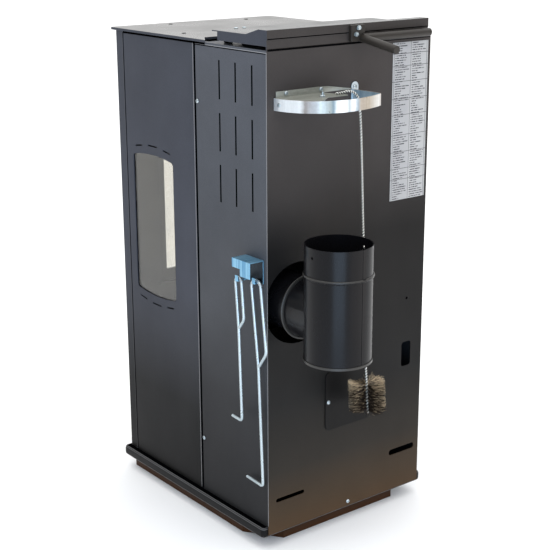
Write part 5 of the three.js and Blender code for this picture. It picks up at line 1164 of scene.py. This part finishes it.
def bristles(tip, axis):
    """Splayed strands in a double spiral round the core, parted on one side; pale pieces at the tips and top
    are painted light, dark ones near the core and low down painted shade.
    """
    chance = random.Random(SEED)
    side = axis.orthogonal().normalized()
    up = axis.cross(side)
    parting = Vector((math.cos(PARTING), math.sin(PARTING), 0))
    strands = {"brass": ([], []), "shaded_brass": ([], [])}
    for count in range(TUFT_STRANDS):
        share = (count + 0.5) / TUFT_STRANDS
        turn = 2 * math.pi * TUFT_TURNS * share + math.pi * (count % 2) + chance.gauss(0, TURN_SPREAD)
        out = math.cos(turn) * side + math.sin(turn) * up
        if out.dot(parting) > math.cos(PARTING_HALF) and chance.random() > PARTING_SHARE:
            continue
        along = TUFT_START + (BRUSH_LENGTH - TUFT_MARGIN) * share
        height = (along + chance.gauss(0, HEIGHT_SPREAD)) * MM
        reach = (BRUSH_RADIUS - abs(chance.gauss(0, REACH_SPREAD))) * MM
        droop = (chance.gauss(0, DROOP_SPREAD) + 7.0 * max(share - 0.4, -0.1)) * MM
        if share > TOP_SHARE:
            droop += abs(chance.gauss(0, TOP_SPREAD)) * MM
        sway = axis.cross(out) * chance.gauss(0, SWAY_SPREAD) * MM
        knots = [tip + axis * height + out * STRAND_ROOT * MM]
        for fall, far, swing in BENDS:
            knots.append(tip + axis * (height + fall * droop) + out * far * reach + swing * sway)
        knots.append(tip + axis * max(height + droop, 0.8 * MM) + out * reach + sway)
        row = 2 if share > HIGHEST_SHARE else 0 if share < LOWEST_SHARE else 1
        for lower, upper, pale in zip(knots, knots[1:], LIT_SHARES[row]):
            points, faces = strands["brass" if chance.random() < pale else "shaded_brass"]
            strand_piece(points, faces, lower, upper, axis, out)
    for look, (points, faces) in strands.items():
        mesh = mesh_of("brush_tufts", points, faces)
        place_piece("tufts_" + look, mesh, "brush", "brass", ("brush_bristles",), look=look)


def flue_brush():
    tip = mm(*BRUSH_TIP)
    axis = (mm(*WIRE_POINTS[-1]) - tip).normalized()
    core_top = tip + axis * BRUSH_LENGTH * MM
    route = [mm(*p) for p in WIRE_POINTS] + [core_top + axis * WIRE_OVERLAP * MM]
    path = smooth_path(route, WIRE_STEP * MM)
    twisted_wire("brush_strand_", "brush_wire", path, WIRE_TWIST, WIRE_RADII, "brush_wire")
    core = [tip + axis * (k * CORE_STEP * MM) for k in range(int(BRUSH_LENGTH / CORE_STEP) + 1)]
    twisted_wire("core_strand_", "brush_core", core, CORE_TWIST, CORE_RADII, "brush_bristles")
    bristles(tip, axis)


# Small fittings


def ring_bolt():
    """The upright bolt and its two nuts through the ring's plate."""
    place = looking((112, REAR_Y + 45, 0), (0, 0, 1))
    shank = [(0, 900), (2.4, 900), (2.4, 918.7), (0, 918.7)]
    upper_nut = [(0, 909.1), (5.2, 909.1), (5.2, 912.1), (4.4, 913.1), (0, 913.1)]
    lower_nut = [(0, 901), (5.2, 901), (5.2, 905.5), (4.4, 906.8), (0, 906.8)]
    parts = [turned("bolt", shank, place, 24)]
    parts += [turned("bolt", nut, place, 6, sharp=20) for nut in (upper_nut, lower_nut)]
    place_piece("ring_bolt", joined("ring_bolt", parts), "stove", "zinc")


def top_hole_shades():
    """Flat dark discs on the top plate: painted shade for its shallow holes."""
    for index, (x, y) in enumerate(HOLE_SHADE_PLACES):
        mesh = turned("plug", HOLE_SHADE_PROFILE, looking((x, y, HOLE_SHADE_Z), (0, 0, 1)), 40)
        place_piece(f"top_hole_shade_{index + 1}", mesh, "stove", "light_enamel", look="dark")


# Floor, light and camera


def stage():
    half = FLOOR_HALF
    corners = [(x, y, FLOOR_Z) for x, y in ((-half, -half), (half, -half), (half, half), (-half, half))]
    mesh = mesh_of("floor", corners, [[0, 1, 2, 3]])
    g = Graph("studio_floor")
    tone = g.ramp(g.noise(0.8, 4.0), [(0.3, grey(0.86)), (0.7, grey(0.9))])
    g.set(Base_Color=tone, Roughness=0.9, Normal=g.bump(g.noise(120.0, 3.0), 0.0004, 0.05))
    mesh.materials.append(g.material)
    floor = linked("floor", mesh)


def area_light(name, place, target, size, power, colour):
    data = bpy.data.lights.new(name, "AREA")
    data.shape = "RECTANGLE"
    data.size, data.size_y = size
    data.energy = power
    data.color = colour
    light = linked(name, data)
    turn = (Vector(target) - Vector(place)).to_track_quat("-Z", "Y").to_matrix().to_4x4()
    light.matrix_world = Matrix.Translation(Vector(place)) @ turn


def sky(tree):
    """A soft studio tent: dim along the horizon, bright overhead, with one wide lit wall."""
    g = Nodes(tree)

    def smooth(*values):
        return g.span(*values, interpolation_type="SMOOTHSTEP")

    direction = g.add("ShaderNodeTexCoord").outputs["Generated"]
    across, along, up = g.add("ShaderNodeSeparateXYZ", {0: direction}).outputs
    overhead = smooth(up, 0.02, 0.95, SKY_LOW, SKY_HIGH)
    wall_x, wall_y = WALL_FACING
    toward_wall = g.maths("ADD", g.maths("MULTIPLY", across, wall_x), g.maths("MULTIPLY", along, wall_y))
    wall_width = smooth(toward_wall, 0.25, 0.85, 0.0, WALL_LIGHT)
    wall = g.maths("MULTIPLY", wall_width, smooth(up, 0.75, 0.35, 0.0, 1.0))
    return g.maths("ADD", overhead, wall)


def studio():
    world = bpy.data.worlds.new("studio")
    bpy.context.scene.world = world
    world.use_nodes = True
    back = world.node_tree.nodes["Background"]
    back.inputs["Color"].default_value = (1.0, 1.0, 1.0, 1.0)
    world.node_tree.links.new(sky(world.node_tree), back.inputs["Strength"])
    for lamp in LAMPS:
        area_light(*lamp)


def camera():
    yaw, pitch, roll = (math.radians(a) for a in (CAMERA_YAW, CAMERA_PITCH, CAMERA_ROLL))
    ahead = Vector((math.cos(pitch) * math.sin(yaw), math.cos(pitch) * math.cos(yaw), -math.sin(pitch)))
    level = ahead.cross(Vector((0, 0, 1))).normalized()
    upright = level.cross(ahead)
    right = math.cos(roll) * level + math.sin(roll) * upright
    up = -math.sin(roll) * level + math.cos(roll) * upright
    data = bpy.data.cameras.new("camera")
    data.lens = CAMERA_LENS
    data.sensor_width = 36
    data.clip_end = 200
    eye = linked("camera", data)
    turn = Matrix((right, up, -ahead)).transposed().to_4x4()
    eye.matrix_world = Matrix.Translation(Vector(CAMERA_PLACE)) @ turn
    bpy.context.scene.camera = eye


panels()
seams()
rear_lines()
flue_tee()
half_ring()
screws()
bolts()
lid_handle()
flue_brush()
ring_bolt()
top_hole_shades()
stage()
studio()
camera()
bpy.context.scene.view_settings.view_transform = "Standard"
